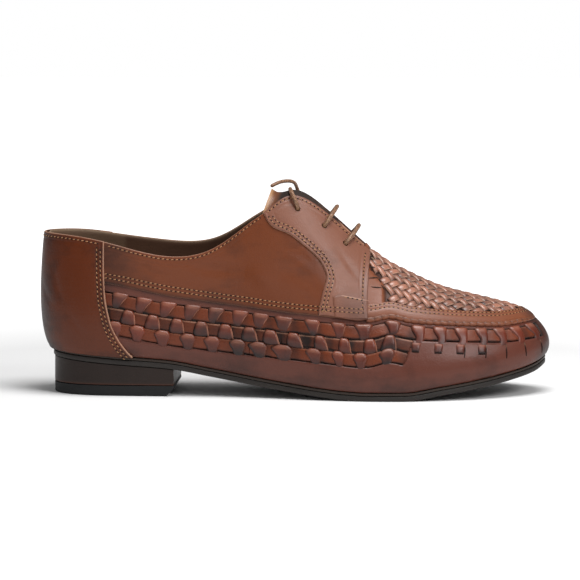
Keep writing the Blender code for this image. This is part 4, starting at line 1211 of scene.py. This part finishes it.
# The small piece over the facing's lower front corner, sewn down along its top.
REINFORCEMENT_BACK, REINFORCEMENT_FRONT, REINFORCEMENT_HEIGHT = 9.14, THROAT + 0.085, 13.5 * MM
across_steps = np.concatenate([[0, 0.01, 0.03, 0.07], np.linspace(0.12, 0.93, 24), [0.97, 0.99, 1]])
rise_steps = np.concatenate([[0, 0.01, 0.03], np.linspace(0.08, 0.9, 16), [0.94, 0.97, 0.99, 1]])
across, rise = np.meshgrid(across_steps, rise_steps)
places = REINFORCEMENT_BACK + (REINFORCEMENT_FRONT - REINFORCEMENT_BACK) * across
top_line = REINFORCEMENT_HEIGHT - 2.2 * MM * across ** 2 - 1.6 * MM * (1 - smooth_step(0, 0.22, across))
rim = np.minimum(np.minimum(across, 1 - across), 1 - rise) * 12 * MM
out = FACING_OUT + 0.45 * MM * smooth_step(0, 0.5 * MM, rim) + 0.1 * MM
marks = {"dark": 0.25, "tint_and_highlight": 0.6 * smooth_step(0.93, 1, rise) * smooth_step(0.2, 0.35, across)}
for side, word in ((1, "outer"), (-1, "inner")):
    levels = depth_level(side * places, -rise * top_line)
    mesh = both_sides("reinforcement_" + word, side, places, levels, (out, FACING_OUT - 0.3 * MM), marks)
    add_piece(mesh, facing_leather)

# Lining and topline
# Thin dark leather glued inside the whole upper and turned at the collar, paler round the heel.
LINING_THICK = 0.65 * MM
lining_rows = [0.02, 0.1, 0.2, 0.3, 0.4, 0.5, 0.6, 0.7, 0.8, 0.88, 0.94, 0.97, 0.985, 0.995, 1.0]
lining_field, lining_level = np.meshgrid(np.linspace(0, RING_LENGTH, 380), lining_rows)
lining_leather = leather(
    "lining_leather", colour="553b2c", dark="1d1510", tint_and_highlight="86705a", mottle=0.8, grain=0.4, rough=0.45, sheen=0.05
)
glued = LINING_THICK - WALL
turned = smooth_step(1.0, 0.985, lining_level)
topline_out = np.where(folded(lining_field) < THROAT, 0.3 * MM, glued) * turned - 0.5 * MM * (1 - turned)
lining_raw = 0.3 * (folded(lining_field) < 3.2) + 0.65 * smooth_step(0.99, 0.998, lining_level)
# Painted shade: the lining darkens deeper inside the shoe.
lining_mesh = sheet_mesh(
    "lining",
    skin(lining_field, lining_level, np.where(lining_level > 0.9, topline_out, glued)),
    skin(lining_field, lining_level, 0.35 * MM * smooth_step(0.985, 1.0, lining_level) - WALL),
    {"dark": 0.25 * smooth_step(0.95, 0.6, lining_level), "tint_and_highlight": lining_raw},
)
laced_pieces.append(add_piece(lining_mesh, lining_leather))

# Eyelets
# Plain holes punched through facing, quarter and lining, with no rings.
EYELET_BORE = 0.0034
punch_bm = bmesh.new()
for place, level in EYELETS:
    for side in (1, -1):
        at = Vector(skin(side * place, level))
        axis = Vector(wall_normal(side * place, level))
        bmesh.ops.create_cone(
            punch_bm, cap_ends=True, segments=28, radius1=EYELET_BORE / 2, radius2=EYELET_BORE / 2,
            depth=4 * (FACING_OUT + WALL),
            matrix=Matrix.Translation(at) @ axis.to_track_quat("Z", "Y").to_matrix().to_4x4(),
        )
punch_mesh = bpy.data.meshes.new("eyelet_punch")
punch_bm.to_mesh(punch_mesh)
punch_bm.free()
punch = bpy.data.objects.new("eyelet_punch", punch_mesh)
bpy.context.scene.collection.objects.link(punch)
for piece in laced_pieces:
    cut = piece.modifiers.new("eyelets", "BOOLEAN")
    cut.operation = "DIFFERENCE"
    cut.solver = "EXACT"
    cut.object = punch
bpy.context.view_layer.update()
seen = bpy.context.evaluated_depsgraph_get()
for piece in laced_pieces:
    cut_mesh = bpy.data.meshes.new_from_object(piece.evaluated_get(seen))
    cut_mesh.name = piece.name
    cut_mesh.shade_smooth()
    cut_mesh.set_sharp_from_angle(angle=math.radians(50))
    piece.modifiers.clear()
    piece.data = cut_mesh
bpy.data.objects.remove(punch)

# Tongue
# A soft strip of leather under the laces, dark below its cut top edge, which stands tan above the throat.
tongue_across = np.concatenate([np.linspace(-1, -0.5, 8), np.linspace(-0.47, 0.47, 33), np.linspace(0.5, 1, 8)])
tongue_places = np.concatenate([[6.5, 6.52, 6.55, 6.6, 6.68], np.linspace(6.8, 10.4, 60)])
tongue_field, tongue_row = np.meshgrid(tongue_across, tongue_places)
TONGUE_THICKNESS = 0.0016
tongue_leather = leather(
    "tongue_leather", colour="693c20", dark="22150e", tint_and_highlight="a37a54", mottle=0.9, grain=0.35, rough=0.3, sheen=0.2
)
tongue_faces = [tongue_skin(tongue_field[:, ::-1], tongue_row, out) for out in (0.0, -TONGUE_THICKNESS)]
tongue_marks = {"dark": smooth_step(6.8, 7.4, tongue_row), "tint_and_highlight": 0.9 * (1 - smooth_step(6.56, 6.75, tongue_row))}
tongue_mesh = mend(sheet_mesh("soft_tongue", *tongue_faces, tongue_marks))
add_piece(tongue_mesh, tongue_leather, ["tongue"])

# Stitches
# Waxed tan thread in close machine rows: each stitch is a small thread hump between two needle
# holes. The apron's ridge is closed by hand with thicker thread.
STITCH_PITCH = 2.7 * MM


def stitch_row(points, normals, pitch, length, width, slant_turn=0.28):
    """Matrices for stitches and their holes along a line."""
    run = travelled(points)

    def at_run(table, where):
        return np.array([np.interp(where, run, table[:, i]) for i in range(3)])

    found = []
    for k in range(int(run[-1] / pitch)):
        at = (k + 0.5) * pitch
        centre, pierced = at_run(points, at), at_run(points, (k + 1.0) * pitch)
        normal = unit(at_run(normals, at))
        tangent = unit(at_run(points, at + pitch / 3) - centre)
        tangent = unit(tangent + unit(np.cross(normal, tangent)) * slant_turn)
        turn = Matrix((tangent, np.cross(normal, tangent), normal)).transposed().to_4x4()
        thread_size, hole_size = (length / 2, width / 2, width * 0.42, 1), (0.5 * MM, 0.5 * MM, 0.2 * MM, 1)
        found.append((
            Matrix.Translation(Vector(centre)) @ turn @ Matrix.Diagonal(thread_size),
            Matrix.Translation(Vector(pierced)) @ turn @ Matrix.Diagonal(hole_size),
        ))
    return found


def add_beads(name, matrices, material, subdivisions=1):
    bm = bmesh.new()
    for matrix in matrices:
        bmesh.ops.create_icosphere(bm, subdivisions=subdivisions, radius=1, matrix=matrix)
    mesh = bpy.data.meshes.new(name)
    bm.to_mesh(mesh)
    bm.free()
    mesh.shade_smooth()
    return add_piece(mesh, material)


def line_on(side, places, levels, out):
    """Points and normals of a line on the last."""
    ring = side * np.asarray(places, float)
    levels = np.asarray(levels, float)
    return skin(ring, levels, out), wall_normal(ring, levels)


def under_top(side, places, drop, out):
    """A line at an even distance under the topline."""
    spans = wall_run(side * places)
    return line_on(side, places, [np.interp(span[-1] - drop, span, fine_levels) for span in spans], out)


def beside_edge(side, edge, levels, distance):
    """A line beside a panel's edge that is given as (level, place)."""
    line, normals = line_on(side, between(edge, levels), levels, FACING_OUT + PANEL_LIE)
    return line + unit(np.cross(normals, unit(np.gradient(line, axis=0)))) * side * distance, normals


PANEL_LIE = 0.02 * MM
APRON_ROWS = (5.8, 8.2)
thread_rows = []
for side in (1, -1):
    for foot_row, row in zip(FOOT_ROWS, BACK_ROWS):
        run = np.linspace(2.86, THROAT + 0.02, 300)
        lie_out = QUARTER_OUT + (FACING_OUT - QUARTER_OUT) * smooth_step(8.62, 8.7, run) + PANEL_LIE
        on_piece = smooth_step(REINFORCEMENT_BACK - 0.03, REINFORCEMENT_BACK + 0.03, run)
        levels = depth_level(side * run, -foot_row * MM)
        thread_rows.append(line_on(side, run, levels, lie_out + 0.55 * MM * on_piece))
        thread_rows.append(beside_edge(side, FACING_BACK, np.linspace(0.47, 0.965, 160), -row * MM))
        thread_rows.append(beside_edge(side, COUNTER_FRONT, np.linspace(0.045, 0.965, 110), row * MM))
    front_place = QUARTER_LAST - 2.3 * MM / side_width(THROAT)
    levels = np.linspace(float(depth_level(side * front_place, -4.0 * MM)), 0.965, 90)
    front_out = FACING_OUT + PANEL_LIE + 0.5 * MM * (levels < 0.62)
    thread_rows.append(line_on(side, np.full(len(levels), front_place), levels, front_out))
    thread_rows.append(under_top(side, np.linspace(6.75, THROAT - 0.1, 160), 2.2 * MM, FACING_OUT + PANEL_LIE))
    thread_rows.append(under_top(side, np.linspace(2.95, 6.6, 130), 2.0 * MM, QUARTER_OUT + PANEL_LIE))
    run = np.linspace(REINFORCEMENT_BACK + 0.3, THROAT + 0.03, 60)
    share = (run - REINFORCEMENT_BACK) / (REINFORCEMENT_FRONT - REINFORCEMENT_BACK)
    depths = 2.2 * MM * share ** 2 + 1.0 * MM - REINFORCEMENT_HEIGHT
    thread_rows.append(line_on(side, run, depth_level(side * run, depths), FACING_OUT + 0.6 * MM))
thread_rows.append(under_top(1, np.linspace(-2.8, 2.8, 150), 2.2 * MM, FACING_OUT + PANEL_LIE))
for rise in APRON_ROWS:
    thread_rows.append(line_on(1, apron_run, depth_level(apron_run, -rise * MM), 1.2 * MM))

row_stitches = [
    pair for points, normals in thread_rows
    for pair in stitch_row(points, normals, STITCH_PITCH, 1.75 * MM, 0.56 * MM)
]
stitches, holes = zip(*row_stitches)

thread = leather("thread", colour="a57b55", dark="5f3d24", tint_and_highlight="caa685", mottle=1.6, grain=0.6, rough=0.5, sheen=0.0)
# The needle holes and the throat's slits are dark beads: painted shade in the openings.
hole_dark = leather("needle_holes", colour="1c0f0a", dark="0f0805", tint_and_highlight="1c0f0a", rough=0.7, sheen=0.0)
add_beads("stitches", stitches, thread)
add_beads("needle_holes", holes, hole_dark)
add_beads("throat_slits", slit_matrices, hole_dark, 2)
ridge_top = ridge_line + ridge_normal * RIDGE_RADIUS * (0.25 - 0.5 * ridge_sunk)[:, None]
ridge_stitches, _ = zip(*stitch_row(ridge_top, ridge_normal, RIDGE_STITCH, 0.8 * MM, 2.7 * MM, 0.5))
hand_thread = leather(
    "hand_thread", colour="74492d", dark="3f2413", tint_and_highlight="c9a27c", mottle=1.0, grain=0.6, rough=0.45, sheen=0.1
)
add_beads("ridge_stitches", ridge_stitches, hand_thread, 2)

# Sole and heel
# A thin rubber sole with a leather rand above it, trimmed close to the upper; the heel is built
# of leather lifts with a rubber top lift, its front lower corner cut back.
OUTSOLE_THICKNESS = 0.0030
RAND_THICKNESS = 0.0014
TOP_LIFT_THICKNESS = 0.0064
HEEL_LENGTH = 0.0725
BREAST_BEVEL = 0.0045
INSOLE_THICKNESS = 0.0025
WELD = 0.01 * MM
ring_fine = np.linspace(0, RING_LENGTH, 481)


def spine(points):
    """For each point of the outline the point of the sole's middle line that it looks to."""
    first, last = points[:, 0].min() + 0.028, points[:, 0].max() - 0.04
    xs = np.clip(points[:, 0], first, last)
    middle = [(row.along * LENGTH + START[0], row.centre * BALL_WIDTH + START[1]) for row in SECTIONS]
    return np.stack([xs, np.interp(xs, *zip(*middle))], -1)


def layer(name, margin, low, high, bulge, material, slot, replaced):
    """A layer of the sole between two heights over its length, with a rounded edge."""
    foot, _, _, _, outward = rails(ring_fine)
    flat_shares, flat_inset = (0.0, 0.35, 0.7, 0.93), -0.55
    rounds = [(-0.55, 0.0), (-0.18, 0.06), (-0.02, 0.22), (0.0, 0.5), (-0.02, 0.78), (-0.18, 0.94), (-0.55, 1.0)]
    inner_line = spine(foot + outward * margin)

    def ring_at(share, inset, height):
        edge = (foot + outward * (margin + inset * bulge))[:, :2]
        flat = inner_line + (edge - inner_line) * share
        bottom, top = low(flat[:, 0]), high(flat[:, 0])
        return np.column_stack([flat, bottom + (top - bottom) * height])

    rows = [ring_at(share, flat_inset, 0.0) for share in flat_shares]
    rows += [ring_at(1.0, inset, height) for inset, height in rounds]
    rows += [ring_at(share, flat_inset, 1.0) for share in flat_shares[::-1]]
    mesh = mend(sheet_mesh(name, np.array(rows), marks={"dark": 0.0, "tint_and_highlight": 0.0}), WELD)
    return add_piece(mesh, material, replaced)


def sole_material(name, colour, dark, rough, grain):
    return leather(name, colour, dark, colour, mottle=1.0, grain=grain, rough=rough, sheen=0.0)


def above_foot(rise):
    """A height above the foot's bottom line, as a function of how far along."""
    return lambda x: sole_bottom(x) + rise


outsole_rubber = sole_material("outsole_rubber", "25201d", "12100e", 0.45, 0.5)
rand_leather = sole_material("rand_leather", "2b2019", "150f0c", 0.4, 0.5)
lift_rubber = sole_material("lift_rubber", "111112", "0d0d0e", 0.5, 0.5)
insole_leather = sole_material("insole_leather", "8a6a4a", "5a4230", 0.5, 0.4)
rand_low = OUTSOLE_THICKNESS + FIT_GAP
layer(
    "rubber_sole", SOLE_MARGIN, sole_bottom, above_foot(OUTSOLE_THICKNESS), 0.9 * MM,
    outsole_rubber, "outsole_rubber", ["outsole"],
)
layer(
    "sole_rand", SOLE_MARGIN, above_foot(rand_low), above_foot(rand_low + RAND_THICKNESS), 0.6 * MM,
    rand_leather, "rand_leather", ["rand"],
)
layer(
    "inner_sole", -(WALL + FIT_GAP), above_foot(SOLE_TOP), above_foot(SOLE_TOP + INSOLE_THICKNESS), 0.4 * MM,
    insole_leather, "insole_leather", ["insole"],
)

heel_breast = SECTIONS[0].along * LENGTH + START[0] + HEEL_LENGTH


def heel_outline():
    """Points round the heel as a closed loop: its curved back, then its flat breast."""
    foot = rails(ring_fine)[0][:, :2]
    near = foot[(ring_fine <= TOE) & (foot[:, 0] < heel_breast)]
    far = foot[(ring_fine > TOE) & (foot[:, 0] < heel_breast)]
    near_corner = (heel_breast, np.interp(heel_breast, foot[:TOE * 15, 0], foot[:TOE * 15, 1]))
    far_corner = (heel_breast, np.interp(heel_breast, foot[:TOE * 15:-1, 0], foot[:TOE * 15:-1, 1]))
    loop = np.concatenate([far, near[1:], [near_corner]])
    breast = np.linspace(near_corner, far_corner, 12)[1:]
    return np.concatenate([[far_corner], loop, breast])


def heel_part(name, replaced, rings, material):
    """A part of the heel: rings of height, inset and how far the breast is cut back, with caps."""
    outline = heel_outline()
    centre = np.array((outline[:, 0].min() + HEEL_LENGTH / 2, outline[:, 1].mean()))
    reach = np.linalg.norm(outline - centre, axis=1, keepdims=True)

    def ring_at(height, inset, back, share=1.0):
        flat = centre + (outline - centre) * (1 - inset / reach) * share
        flat[:, 0] = np.minimum(flat[:, 0], heel_breast - back)
        level = height(flat[:, 0]) if callable(height) else np.full(len(flat), height)
        return np.column_stack([flat, level])

    rows = [ring_at(*rings[0], share) for share in (0.0, 0.6, 0.95)]
    rows += [ring_at(*ring) for ring in rings]
    rows += [ring_at(*rings[-1], share) for share in (0.95, 0.6, 0.0)]
    points = np.array(rows)
    heights = points[..., 2]
    red_band = smooth_step(*RED_BAND, heights) * (heights > TOP_LIFT_THICKNESS - FIT_GAP / 2)
    mesh = mend(sheet_mesh(name, points, marks={"dark": 0.0, "tint_and_highlight": red_band}), WELD)
    mesh.set_sharp_from_angle(angle=math.radians(35))
    return add_piece(mesh, material, [replaced])


RED_BAND = (7.6 * MM, 6.6 * MM)
stack_rings = [(TOP_LIFT_THICKNESS, 0.5 * MM, 0), (TOP_LIFT_THICKNESS + 0.15 * MM, 0.1 * MM, 0)]
stack_rings += [(TOP_LIFT_THICKNESS + rise * MM, 0, 0) for rise in (0.9, 1.8, 3.5)]
stack_rings += [(above_foot(-FIT_GAP - 0.2 * MM), 0.1 * MM, 0), (above_foot(-FIT_GAP), 0.5 * MM, 0)]
stack_leather = leather(
    "stack_leather", colour="271d19", dark="140e0b", tint_and_highlight="43261a", mottle=0.9, grain=0.3, rough=0.36, sheen=0.1,
    shine=0.2
)
heel_part("stacked_heel", "heel_stack", stack_rings, stack_leather)
lift_top = TOP_LIFT_THICKNESS - FIT_GAP
lift_rings = [
    (0.0, 0.7 * MM, BREAST_BEVEL + 0.2 * MM), (0.25 * MM, 0.25 * MM, BREAST_BEVEL),
    (0.8 * MM, 0.05 * MM, BREAST_BEVEL - 0.8 * MM), (BREAST_BEVEL, 0.0, 0.0),
    (lift_top - 0.2 * MM, 0.0, 0.0), (lift_top, 0.3 * MM, 0.0),
]
heel_part("rubber_lift", "top_lift", lift_rings, lift_rubber)

# Floor and light
# A pale studio floor under broad soft lights: one high over the shoe, one in front of the toe.
floor_bm = bmesh.new()
bmesh.ops.create_grid(floor_bm, x_segments=1, y_segments=1, size=6)
floor_mesh = bpy.data.meshes.new("floor")
floor_bm.to_mesh(floor_mesh)
floor_bm.free()
floor = bpy.data.objects.new("floor", floor_mesh)
bpy.context.scene.collection.objects.link(floor)
floor_material, floor_tree, floor_shader = plain_material("floor_white")
floor_place = floor_tree.nodes.new("ShaderNodeTexCoord").outputs["Object"]
# Painted light: the floor glows white away from the shoe, the more the further out.
floor_reach = link_new(floor_tree, "ShaderNodeVectorMath", {0: floor_place}, operation="LENGTH")
far_white = link_new(
    floor_tree, "ShaderNodeMapRange", {"Value": floor_reach.outputs["Value"], "From Min": 0.28, "From Max": 0.75}
)
floor_tree.links.new(far_white.outputs["Result"], floor_shader.inputs["Emission Strength"])
floor_shader.inputs["Emission Color"].default_value = (1, 1, 1, 1)
floor_shader.inputs["Base Color"].default_value = (0.93, 0.93, 0.93, 1)
floor_shader.inputs["Roughness"].default_value = 0.6
floor_mesh.materials.append(floor_material)

SHOWN_WHITE = 1.0
FILL_LIGHT = 0.22
world = bpy.data.worlds.new("studio")
world.use_nodes = True
background = world.node_tree.nodes["Background"]
background.inputs["Color"].default_value = (1, 1, 1, 1)
seen_by = world.node_tree.nodes.new("ShaderNodeLightPath")
brightness = link_new(
    world.node_tree, "ShaderNodeMapRange",
    {"Value": seen_by.outputs["Is Camera Ray"], "To Min": FILL_LIGHT, "To Max": SHOWN_WHITE},
)
world.node_tree.links.new(brightness.outputs["Result"], background.inputs["Strength"])
bpy.context.scene.world = world

for name, place, size, power in (
    ("overhead", (0.16, -0.20, 1.05), 0.55, 11.0),
    ("toe_side", (0.75, -0.75, 0.75), 0.45, 6.0),
    ("front", (-0.2, -1.5, 0.60), 0.7, 2.0),
):
    light_data = bpy.data.lights.new(name, "AREA")
    light_data.size = size
    light_data.energy = power
    light = bpy.data.objects.new(name, light_data)
    light.location = place
    light.rotation_mode = "QUATERNION"
    light.rotation_quaternion = (Vector(place) - CAMERA_TARGET).to_track_quat("Z", "Y")
    bpy.context.scene.collection.objects.link(light)
